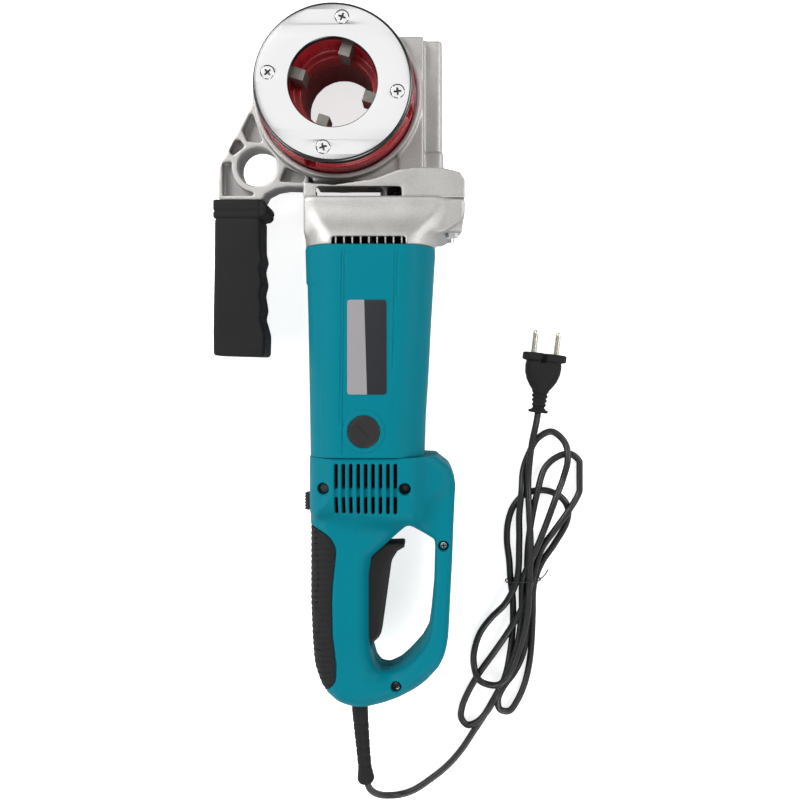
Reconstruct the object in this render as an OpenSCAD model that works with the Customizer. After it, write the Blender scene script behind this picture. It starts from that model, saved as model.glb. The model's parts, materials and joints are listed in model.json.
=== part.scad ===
// Hand-held pipe threading machine, lying on its back with the die head facing up.
// Origin: die-head axis at the back face. +Z out of the die head, +Y from handle to head.
// All sizes are in millimetres.

/* [Die head] */
// Outer diameter of the bright cover plate
plate_d = 120; // [114:1:124]
// Diameter of the hole in the cover plate
plate_hole_d = 68; // [62:1:76]
// Thickness of the cover plate
plate_t = 5; // [4:0.5:6]
// Bore of the sleeve that guides the pipe
guide_bore_d = 57; // [50:1:60]
// Diameter of the circle that the chaser tips lie on
thread_d = 47.8; // [40:0.2:50]
// Width of one chaser
chaser_w = 9; // [8:0.5:10]
// Distance across the flats of the die body's drive
drive_flats = 84; // [80:1:87]

/* [Ring drive] */
// Number of teeth on the drive ring
ring_teeth = 58; // [56:1:60]
// Tooth module of drive ring and worm
worm_module = 2; // [1.95:0.05:2.05]
// Radius of the worm at its pitch line
worm_pitch_r = 9.5; // [9:0.1:10]
// Face width of the ring's teeth
ring_face_w = 9; // [7:0.5:10]

/* [Housing] */
// Wall between the ring's teeth and the outside
ring_wall = 6; // [5:0.5:8]
// Depth of the ring housing from its back face to its front rim
housing_depth = 57; // [56:0.5:60]
// Length of the motor housing
motor_len = 166; // [150:1:200]
// Width of the motor housing at its wide end
motor_w = 104; // [100:1:112]
// Depth of the motor housing
motor_h = 90; // [88:1:96]
// Wall of the plastic housings
shell_wall = 3; // [2.4:0.1:3.6]

/* [Support arm] */
// Diameter of the hole through the support arm
arm_hole_d = 32; // [28:1:34]
// Thickness of the support arm
arm_t = 24; // [20:1:26]
// Length of the rubber grip
grip_len = 127; // [106:1:152]

/* [Handle] */
// Thickness of the closed handle
handle_t = 54; // [48:1:62]
// Diameter of the mains cord
cord_d = 5.6; // [5:0.2:6.4]

/* [Hidden] */
gap = 0.3;
run = 0.05;
fine = 72;
small = 32;

// heights of the ring drive
ring_mid_z = 28;
ring_back_z = 1;
ring_front_z = 47;
circlip_z = 1.6;
circlip_t = 1.2;
back_bush_z = 3;
bush_len = 11;
front_bush_z = 40;
plate_back_z = 81;
plate_front_z = plate_back_z + plate_t;
flange_back_z = ring_front_z + gap;
ring_pitch_r = ring_teeth * worm_module / 2;
ring_tip_r = ring_pitch_r + 0.85 * worm_module;
ring_root_r = ring_pitch_r - 1.1 * worm_module;
cavity_r = ring_tip_r + 1.4;
housing_r = cavity_r + ring_wall;
journal_r = 51;
bush_r = 55;
retainer_r = cavity_r + 1.9;
die_flange_r = plate_d / 2 + 2.2;
chaser_z = 58;
chaser_h = 20;
thread_pitch = 2.31;

// drive axes, all parallel to Y
worm_x = ring_pitch_r + worm_pitch_r;
worm_z = ring_mid_z;
motor_x = 25.5;
motor_z = motor_h / 2;
stage_one_r = 22.5;
stage_two_r = 30;
axis_dx = worm_x - motor_x;
axis_dz = worm_z - motor_z;
axis_gap = sqrt(axis_dx * axis_dx + axis_dz * axis_dz);
along = (stage_one_r * stage_one_r - stage_two_r * stage_two_r + axis_gap * axis_gap) / (2 * axis_gap);
aside = sqrt(stage_one_r * stage_one_r - along * along);
mid_x = motor_x + (along * axis_dx + aside * axis_dz) / axis_gap;
mid_z = motor_z + (along * axis_dz - aside * axis_dx) / axis_gap;
dir_one = atan2(mid_z - motor_z, mid_x - motor_x);
dir_two = atan2(worm_z - mid_z, worm_x - mid_x);

// gear train
gear_angle = 25;
pinion_teeth = 10;
wheel_teeth = 35;
second_teeth = 10;
worm_gear_teeth = 30;
module_one = 2 * stage_one_r / (pinion_teeth + wheel_teeth);
module_two = 2 * stage_two_r / (second_teeth + worm_gear_teeth);
thin = 0.14;
worm_lead = PI * worm_module;
worm_turns = 7;
worm_core_r = worm_pitch_r - 1.1 * worm_module;
worm_tip_r = worm_pitch_r + 0.85 * worm_module;
worm_half_w = 0.95;
phase_zero = 0;
phase_wheel = mesh_phase(phase_zero, pinion_teeth, wheel_teeth, dir_one);
phase_second = 0;
phase_worm_gear = mesh_phase(phase_second, second_teeth, worm_gear_teeth, dir_two);

// stations along the drive axes
tunnel_end_y = 47;
front_bearing_y = 36;
mid_bearing_y = -58;
case_split_y = -86;
bracket_end_y = -120;
wall_y = -100;
wall_t = 12;
bearing_w = 8;
bearing_r = 13;
needle_r = 8;
shaft_r = 5;
gear_one_y = -98;
gear_one_w = 8;
gear_two_y = -87;
gear_two_w = 10;
motor_end_y = bracket_end_y - motor_len;
brush_y = motor_end_y + 20;
rear_bearing_y = motor_end_y + 1;

// gear case and bracket outlines
case_left = -24;
case_right = 101;
case_low = 0;
case_high = 76;
case_wall = 3.6;

// support arm
arm_mid_z = 32;
arm_back_z = arm_mid_z - arm_t / 2;
arm_hole_x = -65.7;
arm_hole_y = -54.5;
web_t = 9;
grip_x = -82.7;
grip_top_y = -80;
grip_w = 42;
grip_h = 32;

// handle
handle_end_y = motor_end_y - 203;
handle_left = -22.3;
split_z = motor_z;
handle_low = split_z - handle_t / 2;
handle_high = split_z + handle_t / 2;
box_low = 4;
box_high = motor_h - 4;
hy = motor_end_y + 286;
pivot_x = 19;
pivot_y = -430 + hy;
relief_x = 16.3;
relief_len = 66;
pad_t = 1.8;

// cord on the floor
tail_points = [[21.5, -555, 33], [24, -565, 27], [30, -573.5, 18], [38, -578.5, 9.5], [48, -580, 4.5],
    [59, -577, 3.5], [73, -568, 3.5], [88, -556, 3.5], [100, -542.5, 3.5], [110, -527.5, 3.5],
    [117.5, -517, 3.5]];
lead_points = [[160.6, -276.5, 4.5], [162, -269, 7.5], [163.3, -261.5, 11], [164.2, -254, 14]];
hank_low = [129, -486];
hank_low_r = 34;
hank_mid = [154, -395];
hank_mid_r = 16;
hank_high = [177, -297];
hank_high_r = 27;
hank_h = 20;
plug_x = 164.2;
plug_y = -254.5;
plug_z = 14;
plug_tilt = -6.8;

// Angle in degrees between base circle and radius r along an involute
function involute_angle(rb, r) =
    let (a = acos(min(1, rb / max(r, rb)))) tan(a) * 180 / PI - a;

// Half the angle that a tooth fills at radius r
function half_tooth(teeth, mod, r) =
    let (rp = teeth * mod / 2, rb = rp * cos(gear_angle))
    90 / teeth - thin * 90 / PI / rp + involute_angle(rb, rp) - involute_angle(rb, r)
    - max(0, rb - r) * 4;

// Outline of a spur gear with its first tooth at the given angle
function gear_outline(teeth, mod, add, ded, phase) =
    let (rp = teeth * mod / 2, ra = rp + add, rr = rp - ded, n = 5)
    [for (i = [0 : teeth - 1], k = [0 : 2 * n + 1])
        let (up = k <= n, f = up ? k / n : (2 * n + 1 - k) / n, r = rr + (ra - rr) * f,
            h = half_tooth(teeth, mod, r), a = phase + 360 * i / teeth + (up ? -h : h))
        [r * cos(a), r * sin(a)]];

// First-tooth angle that puts gear b in mesh with gear a along direction d
function mesh_phase(pa, za, zb, d) =
    d + 180 - (0.5 - (d - pa) * za / 360) * 360 / zb;

// Corners of one cross section of the worm's thread
function thread_ring(t) =
    let (a = 360 * t, y = worm_lead * (t - floor(worm_turns / 2) - 0.25),
        wi = worm_half_w + (worm_pitch_r - worm_core_r + 0.4) * tan(gear_angle),
        wo = worm_half_w - (worm_tip_r - worm_pitch_r) * tan(gear_angle),
        ri = worm_core_r - 0.4)
    [[ri * sin(a), y - wi, ri * cos(a)], [worm_tip_r * sin(a), y - wo, worm_tip_r * cos(a)],
     [worm_tip_r * sin(a), y + wo, worm_tip_r * cos(a)], [ri * sin(a), y + wi, ri * cos(a)]];

// Points of one ring of a tube, square to the route at point i
function tube_ring(p, i, r, n) =
    let (a = p[max(0, i - 1)], b = p[min(len(p) - 1, i + 1)], d = (b - a) / norm(b - a),
        s = cross(d, [0, 0, 1]) / norm(cross(d, [0, 0, 1])), u = cross(s, d))
    [for (k = [0 : n - 1]) p[i] + r * (s * cos(360 * k / n) + u * sin(360 * k / n))];

// Solid tube along a route of points
module tube(p, r, n) {
    rings = [for (i = [0 : len(p) - 1]) each tube_ring(p, i, r, n)];
    last = (len(p) - 1) * n;
    sides = [for (i = [0 : len(p) - 2], k = [0 : n - 1])
        [i * n + k, i * n + (k + 1) % n, (i + 1) * n + (k + 1) % n, (i + 1) * n + k]];
    caps = [[for (k = [n - 1 : -1 : 0]) k], [for (k = [0 : n - 1]) last + k]];
    polyhedron(points = rings, faces = [for (f = concat(sides, caps)) [for (j = [len(f) - 1 : -1 : 0]) f[j]]]);
}

// Cylinder along +Y from y0, on the axis (x, z)
module rod(x, z, y0, len, r, n = fine) {
    translate([x, y0, z])
        rotate([-90, 0, 0])
            cylinder(h = len, r = r, $fn = n);
}

// Ring along +Y from y0, on the axis (x, z)
module sleeve(x, z, y0, len, ro, ri, n = fine) {
    translate([x, y0, z])
        rotate([-90, 0, 0])
            difference() {
                cylinder(h = len, r = ro, $fn = n);
                translate([0, 0, -1])
                    cylinder(h = len + 2, r = ri, $fn = n);
            }
}

// Ring along +Z from z0 on the die-head axis
module band(z0, len, ro, ri, n = fine) {
    translate([0, 0, z0])
        difference() {
            cylinder(h = len, r = ro, $fn = n);
            translate([0, 0, -1])
                cylinder(h = len + 2, r = ri, $fn = n);
        }
}

// Outline in X and Z pushed along +Y from y0
module along_y(y0, len) {
    translate([0, y0 + len, 0])
        rotate([90, 0, 0])
            linear_extrude(height = len)
                children();
}

// Outline in X and Y pushed along +Z from z0
module along_z(z0, len) {
    translate([0, 0, z0])
        linear_extrude(height = len)
            children();
}

// Rectangle with rounded corners, given by its low and high corners
module round_rect(x0, y0, x1, y1, r) {
    translate([x0 + r, y0 + r])
        offset(r = r, $fn = small)
            square([x1 - x0 - 2 * r, y1 - y0 - 2 * r]);
}

// Spur gear on an axis along Y
module spur(x, z, y0, len, teeth, mod, add, ded, phase) {
    along_y(y0, len)
        translate([x, z])
            polygon(gear_outline(teeth, mod, add, ded, phase));
}

// Outline of the gear case seen from the front
module case_outline() {
    polygon([[case_left, -121], [case_left, -74], [0, -76], [31, -71], [50, -64], [66, -62],
        [84, -63], [97, -66], [case_right, -72], [case_right, -121]]);
}

// Outline of the support arm, without its pockets
module arm_outline() {
    offset(r = 3, $fn = small)
        offset(delta = -3)
            polygon([[-62, 12], [-68, 0], [-96.6, -55], [-97.4, -81.6], [-61.9, -81.6], [-59.4, -76],
                [-51.4, -71.9], [-41.7, -70.3], [-24.4, -71.1], [-24.4, -62], [-30, -50], [-50, -20]]);
}

// Pockets that leave the arm's web between its ribs
module arm_pockets() {
    offset(r = 1.5, $fn = small)
        offset(delta = -1.5)
            union() {
                polygon([[-70.5, -9], [-78, -25], [-74, -34], [-61.5, -35]]);
                polygon([[-84.2, -32.5], [-79.6, -33], [-76, -38.3], [-85.3, -45.5], [-88.5, -42]]);
                difference() {
                    polygon([[-94.2, -51], [-84, -50], [-64, -72], [-64, -78], [-94.2, -78]]);
                    translate([arm_hole_x, arm_hole_y])
                        circle(r = arm_hole_d / 2 + 5, $fn = fine);
                }
                polygon([[-43, -54.5], [-48, -66.3], [-29, -67.5], [-27, -62]]);
            }
}

// Outline of the closed handle
module handle_outline() {
    offset(r = 4, $fn = small)
        offset(delta = -4)
            translate([0, hy])
                polygon([[handle_left, -286], [72, -286], [89, -294.6], [93.9, -306], [92.3, -340],
                    [91.5, -364], [89.9, -396], [88.3, -428], [86.6, -440.5], [81.8, -454], [73.8, -465],
                    [65.7, -472], [49.6, -481], [37.5, -485], [23, -488.5], [17.3, -489], [9.3, -487],
                    [1.2, -484], [-6.8, -478.4], [-13, -470], [-19, -452], [-20.7, -430],
                    [-22, -400], [handle_left, -345]]);
}

// Outline of the finger opening in the handle
module finger_outline() {
    offset(r = 5, $fn = small)
        offset(delta = -5)
            translate([0, hy])
                polygon([[55, -339], [60, -339], [77, -351], [78, -358], [77, -392], [74.7, -416],
                    [73, -428], [67.6, -438], [58, -448], [50, -454], [41, -457.5], [34.4, -456.5],
                    [30, -452], [25.5, -430], [25.5, -380], [27.5, -366], [42, -353]]);
}

// Outline of the bracket's flange with the lug for the case screw
module bracket_outline() {
    polygon([[case_left, case_split_y], [case_right, case_split_y], [case_right, case_split_y - 12],
        [case_right - 1.5, case_split_y - 17], [case_right - 7, case_split_y - 20.5],
        [case_right - 12, case_split_y - 24], [case_right - 16, case_split_y - 30],
        [case_left, case_split_y - 30]]);
}

// Outline of the trigger
module trigger_outline() {
    offset(r = 1.2, $fn = small)
        offset(delta = -1.2)
            translate([0, hy])
                polygon([[38, -356.5], [53.6, -356], [53.6, -360], [48, -363.1], [43.9, -369.6],
                    [42.3, -376], [35.1, -428.4], [33, -432], [28.6, -436], [15, -437], [13, -425],
                    [22, -412], [22, -375], [27, -366]]);
}

// Outline of the palm pad's inner edge, right of which the shell is bare
module pad_outline() {
    translate([0, hy])
        polygon([[-40, -342.5], [-22, -342.5], [-13, -346.5], [-6.6, -351], [-2.6, -358], [-2.2, -363],
            [-3.4, -374], [-5, -390], [-5.4, -402], [-5, -427], [-3.4, -439], [-2.2, -451],
            [-2.6, -463], [-5.8, -468], [-9.8, -472], [-14, -478], [-40, -478]]);
}

// ---------- ring drive ----------

module gear_housing() {
    color([0.76, 0.76, 0.76])
        difference() {
            union() {
                cylinder(h = housing_depth, r = housing_r, $fn = fine);
                translate([48.5, -63, 0])
                    cube([20, tunnel_end_y + 63, housing_depth - 3]);
                along_y(-62.5, tunnel_end_y + 62)
                    round_rect(46, worm_z - 17, worm_x + 16, worm_z + 18, 4);
                along_y(-62.5, 18)
                    round_rect(46, worm_z - 18, worm_x + 17, worm_z + 19, 4);
                intersection() {
                    along_z(case_low, case_high - case_low)
                        case_outline();
                    translate([case_left - 1, case_split_y, 0])
                        cube([case_right - case_left + 2, 40, case_high + 5]);
                }
                translate([-20, -80, 6])
                    cube([70, 30, housing_depth - 12]);
            }
            // room for the ring and the die head
            translate([0, 0, back_bush_z + bush_len])
                cylinder(h = front_bush_z - back_bush_z - bush_len, r = cavity_r, $fn = fine);
            translate([0, 0, -1])
                cylinder(h = back_bush_z + bush_len + 2, r = bush_r, $fn = fine);
            translate([0, 0, front_bush_z - 0.01])
                cylinder(h = housing_depth, r = retainer_r, $fn = fine);
            // worm tunnel with its bearing seats
            rod(worm_x, worm_z, mid_bearing_y, front_bearing_y + bearing_w - mid_bearing_y, bearing_r);
            rod(worm_x, worm_z, -90, 40, 8);
            // gear chamber, open towards the bracket
            translate([case_left + case_wall, case_split_y - 1, case_low + case_wall])
                cube([case_right - case_left - 2 * case_wall, 19, case_high - case_low - 2 * case_wall]);
            rod(mid_x, mid_z, -70, 6, needle_r);
            // window in the front of the gear case
            translate([-14, case_split_y - 1, case_high - 8])
                cube([66, 10, 20]);
            rod(91, 62, -100, 36, 2.6, small);
            rod(-17, 12, -100, 20, 2.6, small);
            rod(-17, 66, -100, 20, 2.6, small);
            rod(91, 10, -100, 20, 2.6, small);
        }
}

module ring_retainer() {
    color([0.6, 0.61, 0.62])
        difference() {
            band(front_bush_z, ring_front_z - front_bush_z, retainer_r, bush_r);
            for (a = [0 : 90 : 270])
                rotate([0, 0, a + 30])
                    translate([bush_r + 4, 0, ring_front_z - 3])
                        cylinder(h = 4, r = 1.6, $fn = small);
        }
}

module ring_bushes() {
    color([0.72, 0.55, 0.28]) {
        band(back_bush_z, bush_len, bush_r, journal_r + run);
        band(front_bush_z, ring_front_z - front_bush_z, bush_r, journal_r + run);
    }
}

module drive_ring() {
    color([0.5, 0.5, 0.52])
        difference() {
            union() {
                translate([0, 0, ring_back_z])
                    cylinder(h = ring_front_z - ring_back_z, r = journal_r, $fn = fine);
                translate([0, 0, back_bush_z + bush_len + 0.3])
                    cylinder(h = front_bush_z - back_bush_z - bush_len - 0.6, r = ring_root_r - 1, $fn = fine);
                along_z(ring_mid_z - ring_face_w / 2, ring_face_w)
                    polygon(gear_outline(ring_teeth, worm_module, 0.85 * worm_module,
                        1.1 * worm_module, 0));
            }
            band(circlip_z, circlip_t, journal_r + 5, journal_r - 1.5);
            translate([0, 0, -1])
                rotate([0, 0, 22.5])
                    cylinder(h = ring_front_z + 2, r = (drive_flats / 2 + 0.4) / cos(22.5), $fn = 8);
        }
}

module ring_circlip() {
    color([0.35, 0.35, 0.37])
        difference() {
            band(circlip_z, circlip_t, journal_r + 2.8, journal_r - 1.5);
            translate([-7, 0, 0])
                cube([14, 80, 4]);
        }
}

// ---------- die head ----------

// Pocket that one chaser sits in, open at the outer wall
module chaser_slot() {
    translate([thread_d / 2, -chaser_w / 2, chaser_z])
        cube([plate_d / 2, chaser_w, chaser_h]);
}

module die_body() {
    color([0.62, 0.07, 0.1])
        difference() {
            union() {
                translate([0, 0, 2])
                    rotate([0, 0, 22.5])
                        cylinder(h = flange_back_z - 2, r = drive_flats / 2 / cos(22.5), $fn = 8);
                translate([0, 0, flange_back_z])
                    cylinder(h = 8, r = die_flange_r - 3, $fn = fine);
                translate([0, 0, flange_back_z + 8])
                    cylinder(h = plate_back_z - flange_back_z - 14, r = die_flange_r, $fn = fine);
                translate([0, 0, plate_back_z - 7])
                    cylinder(h = 7, r = plate_d / 2 - 0.6, $fn = fine);
                cylinder(h = 3, r = guide_bore_d / 2 + 6, $fn = fine);
            }
            translate([0, 0, -1])
                cylinder(h = 120, r = guide_bore_d / 2, $fn = fine);
            translate([0, 0, housing_depth])
                cylinder(h = 60, r = plate_hole_d / 2 + 1, $fn = fine);
            for (a = [-18 : 90 : 252])
                rotate([0, 0, a])
                    chaser_slot();
            for (a = [-8.3 : 90 : 262])
                rotate([0, 0, a])
                    translate([50, 0, 68])
                        cylinder(h = 20, r = 2, $fn = small);
        }
}

module cover_plate() {
    color([0.9, 0.9, 0.92])
        difference() {
            translate([0, 0, plate_back_z])
                union() {
                    cylinder(h = plate_t - 1.5, r = plate_d / 2, $fn = fine);
                    translate([0, 0, plate_t - 1.5])
                        cylinder(h = 1.5, r1 = plate_d / 2, r2 = plate_d / 2 - 1.5, $fn = fine);
                }
            translate([0, 0, 60])
                cylinder(h = 60, r = plate_hole_d / 2, $fn = fine);
            for (a = [-8.3 : 90 : 262])
                rotate([0, 0, a])
                    translate([50, 0, 0]) {
                        translate([0, 0, 70])
                            cylinder(h = 20, r = 2, $fn = small);
                        translate([0, 0, plate_front_z - 3.4])
                            cylinder(h = 3.41, r1 = 2, r2 = 5.4, $fn = small);
                    }
        }
}

module plate_screws() {
    color([0.8, 0.8, 0.82])
        for (a = [-8.3 : 90 : 262])
            rotate([0, 0, a])
                translate([50, 0, 0])
                    difference() {
                        union() {
                            translate([0, 0, 69])
                                cylinder(h = plate_front_z - 69 - 1, r = 1.9, $fn = small);
                            translate([0, 0, plate_front_z - 3.4])
                                cylinder(h = 3.2, r1 = 1.9, r2 = 5, $fn = small);
                        }
                        for (b = [0, 90])
                            rotate([0, 0, b + 12])
                                translate([-2.6, -0.45, plate_front_z - 1.8])
                                    cube([5.2, 0.9, 3]);
                    }
}

module chasers() {
    color([0.55, 0.55, 0.56])
        for (a = [-18 : 90 : 252])
            rotate([0, 0, a])
                difference() {
                    translate([thread_d / 2, -chaser_w / 2, chaser_z])
                        cube([31, chaser_w, chaser_h]);
                    for (k = [0 : 7])
                        translate([thread_d / 2 - 0.9, -20, chaser_z + 2 + thread_pitch * k])
                            rotate([-90, 0, 0])
                                cylinder(h = 40, r = 1.5, $fn = 4);
                }
}

// ---------- worm and gears ----------

module worm_shaft() {
    color([0.6, 0.6, 0.62]) {
        rod(worm_x, worm_z, -108, front_bearing_y + bearing_w + 107, shaft_r);
        rod(worm_x, worm_z, mid_bearing_y + bearing_w + gap, 20, 7);
        rod(worm_x, worm_z, 30, 6 - gap, 7);
    }
}

module worm() {
    steps = 24 * worm_turns;
    rings = [for (i = [0 : steps]) each thread_ring(i / 24)];
    sides = [for (i = [0 : steps - 1], k = [0 : 3])
        [i * 4 + k, i * 4 + (k + 1) % 4, (i + 1) * 4 + (k + 1) % 4, (i + 1) * 4 + k]];
    color([0.68, 0.68, 0.7])
        difference() {
            union() {
                rod(worm_x, worm_z, -28, 56, worm_core_r);
                translate([worm_x, 0, worm_z])
                    polyhedron(points = rings, faces = concat(sides, [[3, 2, 1, 0],
                        [steps * 4, steps * 4 + 1, steps * 4 + 2, steps * 4 + 3]]));
            }
            rod(worm_x, worm_z, -40, 80, shaft_r);
        }
}

module worm_gear() {
    color([0.66, 0.62, 0.5])
        difference() {
            spur(worm_x, worm_z, gear_two_y, gear_two_w, worm_gear_teeth, module_two,
                0.75 * module_two, 1.0 * module_two, phase_worm_gear);
            rod(worm_x, worm_z, gear_two_y - 1, gear_two_w + 2, shaft_r);
        }
}

module worm_bearings() {
    color([0.75, 0.76, 0.78]) {
        sleeve(worm_x, worm_z, front_bearing_y, bearing_w, bearing_r, shaft_r + run);
        sleeve(worm_x, worm_z, mid_bearing_y, bearing_w, bearing_r, shaft_r + run);
        sleeve(worm_x, worm_z, wall_y - 9, bearing_w, bearing_r, shaft_r + run);
    }
}

module intermediate_shaft() {
    color([0.6, 0.6, 0.62]) {
        rod(mid_x, mid_z, -110, 45, shaft_r);
        spur(mid_x, mid_z, gear_two_y - 1, gear_two_w + 2, second_teeth, module_two,
            0.75 * module_two, 1.0 * module_two, phase_second);
    }
}

module intermediate_gear() {
    color([0.66, 0.62, 0.5])
        difference() {
            spur(mid_x, mid_z, gear_one_y, gear_one_w, wheel_teeth, module_one,
                0.75 * module_one, 1.0 * module_one, phase_wheel);
            rod(mid_x, mid_z, gear_one_y - 1, gear_one_w + 2, shaft_r);
        }
}

module intermediate_bearings() {
    color([0.75, 0.76, 0.78]) {
        sleeve(mid_x, mid_z, -70, 6, needle_r, shaft_r + run);
        sleeve(mid_x, mid_z, -111, 8, needle_r, shaft_r + run);
    }
}

// ---------- bracket between gear case and motor ----------

// Cooling outlet in one face of the bracket, with its ribs left standing from rib_z on
module outlet(z0, rib_z) {
    difference() {
        along_z(z0, 16)
            round_rect(-1, bracket_end_y - 5, 56, bracket_end_y + 6.5, 2.5);
        for (k = [0 : 7])
            translate([4.5 + 6.3 * k, bracket_end_y - 6, z0 > 0 ? z0 - 1 : 5.5])
                cube([1.8, 14, z0 > 0 ? rib_z - z0 + 1 : 10]);
    }
}

module motor_bracket() {
    color([0.76, 0.76, 0.76])
        difference() {
            union() {
                along_z(case_low, case_high - case_low)
                    bracket_outline();
                // the case's section runs out into the motor's
                hull() {
                    along_y(case_split_y - 1, 1)
                        round_rect(case_left, case_low + 0.5, 82, case_high, 8);
                    along_y(bracket_end_y, 16)
                        round_rect(motor_x - motor_w / 2 + 2, 1.5, motor_x + motor_w / 2 - 2, motor_h - 1.5, 26);
                }
                rod(91, 62, -111, 24, 8);
            }
            // gear chamber side
            translate([case_left + case_wall, wall_y + 1, case_low + case_wall])
                cube([case_right - case_left - 2 * case_wall, 40, case_high - case_low - 2 * case_wall]);
            // fan side
            along_y(bracket_end_y - 1, wall_y - wall_t + 1 - bracket_end_y)
                round_rect(motor_x - motor_w / 2 + 7, 6.5, motor_x + motor_w / 2 - 7, motor_h - 6.5, 22);
            rod(worm_x, worm_z, wall_y - 9, 20, bearing_r);
            rod(mid_x, mid_z, -111, 20, needle_r);
            rod(motor_x, motor_z, -109, 20, bearing_r);
            rod(motor_x, motor_z, -125, 40, 7);
            outlet(motor_h - 12, motor_h - 5.5);
            outlet(-4, 0);
            rod(91, 62, -125, 60, 2.6, small);
            // seat for the screw's head beside the sloping side
            rod(91, 62, -135, 24, 6);
            rod(-17, 12, -100, 20, 2.6, small);
            rod(-17, 66, -100, 20, 2.6, small);
            rod(91, 10, -112, 30, 2.6, small);
        }
}

module case_screws() {
    color([0.82, 0.82, 0.84]) {
        rod(91, 62, -111, 41, 2.6, small);
        rod(91, 62, -115, 4, 5, 6);
        rod(91, 10, -111, 30, 2.6, small);
        rod(-17, 12, -99, 19, 2.6, small);
        rod(-17, 66, -99, 19, 2.6, small);
    }
}

// ---------- support arm ----------

module support_arm() {
    color([0.76, 0.76, 0.76])
        difference() {
            union() {
                along_z(arm_back_z, arm_t)
                    arm_outline();
                translate([arm_hole_x, arm_hole_y, arm_back_z])
                    cylinder(h = arm_t, r = arm_hole_d / 2 + 4, $fn = fine);
            }
            along_z(arm_mid_z + web_t / 2, arm_t)
                arm_pockets();
            along_z(arm_mid_z - web_t / 2 - arm_t, arm_t)
                arm_pockets();
            translate([arm_hole_x, arm_hole_y, 0])
                cylinder(h = 80, r = arm_hole_d / 2, $fn = fine);
            translate([0, 0, -1])
                cylinder(h = 90, r = housing_r, $fn = fine);
            translate([-20, -80, 0])
                cube([70, 30, 80]);
            translate([grip_x - 8, -90, arm_mid_z - 4])
                cube([16, 20, 8]);
        }
}

module arm_core() {
    color([0.45, 0.45, 0.47])
        translate([grip_x - 8, grip_top_y - grip_len + 8, arm_mid_z - 4])
            cube([16, grip_len - 8 + 10, 8]);
}

module arm_grip() {
    color([0.09, 0.09, 0.09])
        difference() {
            union() {
                intersection() {
                    along_y(-81.6 - grip_len, grip_len - 12)
                        round_rect(grip_x - grip_w / 2, arm_mid_z - grip_h / 2, grip_x + grip_w / 2,
                            arm_mid_z + grip_h / 2, 11);
                    along_z(0, 80)
                        difference() {
                            translate([grip_x - 40, -82 - grip_len])
                                square([80, grip_len]);
                            for (k = [0 : 3])
                                translate([grip_x + grip_w / 2 + 18.5, -120 - 25 * k])
                                    circle(r = 20, $fn = fine);
                        }
                }
                along_y(-94, 12.4)
                    round_rect(grip_x - grip_w / 2, arm_mid_z - grip_h / 2 - 1, grip_x + grip_w / 2 + 5,
                        arm_mid_z + grip_h / 2 + 1, 9);
            }
            translate([grip_x - 8, grip_top_y - grip_len + 8, arm_mid_z - 4])
                cube([16, grip_len + 20, 8]);
        }
}

// ---------- motor ----------

module armature_shaft() {
    color([0.6, 0.6, 0.62]) {
        rod(motor_x, motor_z, rear_bearing_y + 0.5, -101 - rear_bearing_y, shaft_r);
        rod(motor_x, motor_z, -102, 15, 3.5);
        spur(motor_x, motor_z, gear_one_y - 1, gear_one_w + 2, pinion_teeth, module_one,
            0.75 * module_one, 1.0 * module_one, phase_zero);
    }
}

module armature_core() {
    color([0.4, 0.4, 0.42])
        difference() {
            rod(motor_x, motor_z, -225, 60, 22);
            rod(motor_x, motor_z, -230, 80, shaft_r);
            for (a = [0 : 30 : 330])
                translate([motor_x, 0, motor_z])
                    rotate([0, a, 0])
                        translate([19, -230, -0.9])
                            cube([6, 80, 1.8]);
        }
}

module windings() {
    color([0.68, 0.36, 0.16]) {
        sleeve(motor_x, motor_z, -165, 14, 19, shaft_r);
        sleeve(motor_x, motor_z, -241, 16, 19, shaft_r);
    }
}

module commutator() {
    color([0.74, 0.45, 0.2])
        difference() {
            sleeve(motor_x, motor_z, brush_y - 9, 18, 13, shaft_r);
            for (a = [0 : 15 : 345])
                translate([motor_x, 0, motor_z])
                    rotate([0, a, 0])
                        translate([12.2, brush_y - 20, -0.2])
                            cube([6, 40, 0.4]);
        }
}

module fan() {
    color([0.15, 0.15, 0.16])
        difference() {
            union() {
                rod(motor_x, motor_z, -126, 2, 34);
                rod(motor_x, motor_z, -136, 12, 9);
                for (a = [0 : 30 : 330])
                    translate([motor_x, 0, motor_z])
                        rotate([0, a, 0])
                            translate([8, -136, -0.8])
                                cube([25, 11, 1.6]);
            }
            rod(motor_x, motor_z, -140, 20, shaft_r);
        }
}

module motor_bearings() {
    color([0.75, 0.76, 0.78]) {
        sleeve(motor_x, motor_z, -109, bearing_w, bearing_r, shaft_r + run);
        sleeve(motor_x, motor_z, rear_bearing_y, bearing_w, 11, shaft_r + run);
    }
}

module stator_core() {
    color([0.35, 0.35, 0.37])
        difference() {
            along_y(-225, 60)
                round_rect(motor_x - 40, shell_wall, motor_x + 40, motor_h - shell_wall, 20);
            rod(motor_x, motor_z, -230, 80, 22.8);
            for (s = [-1, 1])
                translate([motor_x - 22, -230, motor_z + s * 24 - 8])
                    cube([44, 80, 16]);
        }
}

module field_coils() {
    color([0.7, 0.38, 0.18])
        for (s = [-1, 1])
            difference() {
                translate([motor_x - 21, -237, motor_z + s * 25 - 4.5])
                    cube([42, 84, 9]);
                translate([motor_x - 30, -225, motor_z - 22.8])
                    cube([60, 60, 45.6]);
                rod(motor_x, motor_z, -240, 100, 23);
            }
}

module fan_baffle() {
    color([0.12, 0.12, 0.13])
        difference() {
            along_y(-144, 3)
                round_rect(motor_x - 46, 4, motor_x + 46, motor_h - 4, 24);
            rod(motor_x, motor_z, -150, 20, 24);
            for (x = [-36, 36], z = [-30, 30])
                rod(motor_x + x, motor_z + z, -160, 50, 2.2, small);
        }
}

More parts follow.
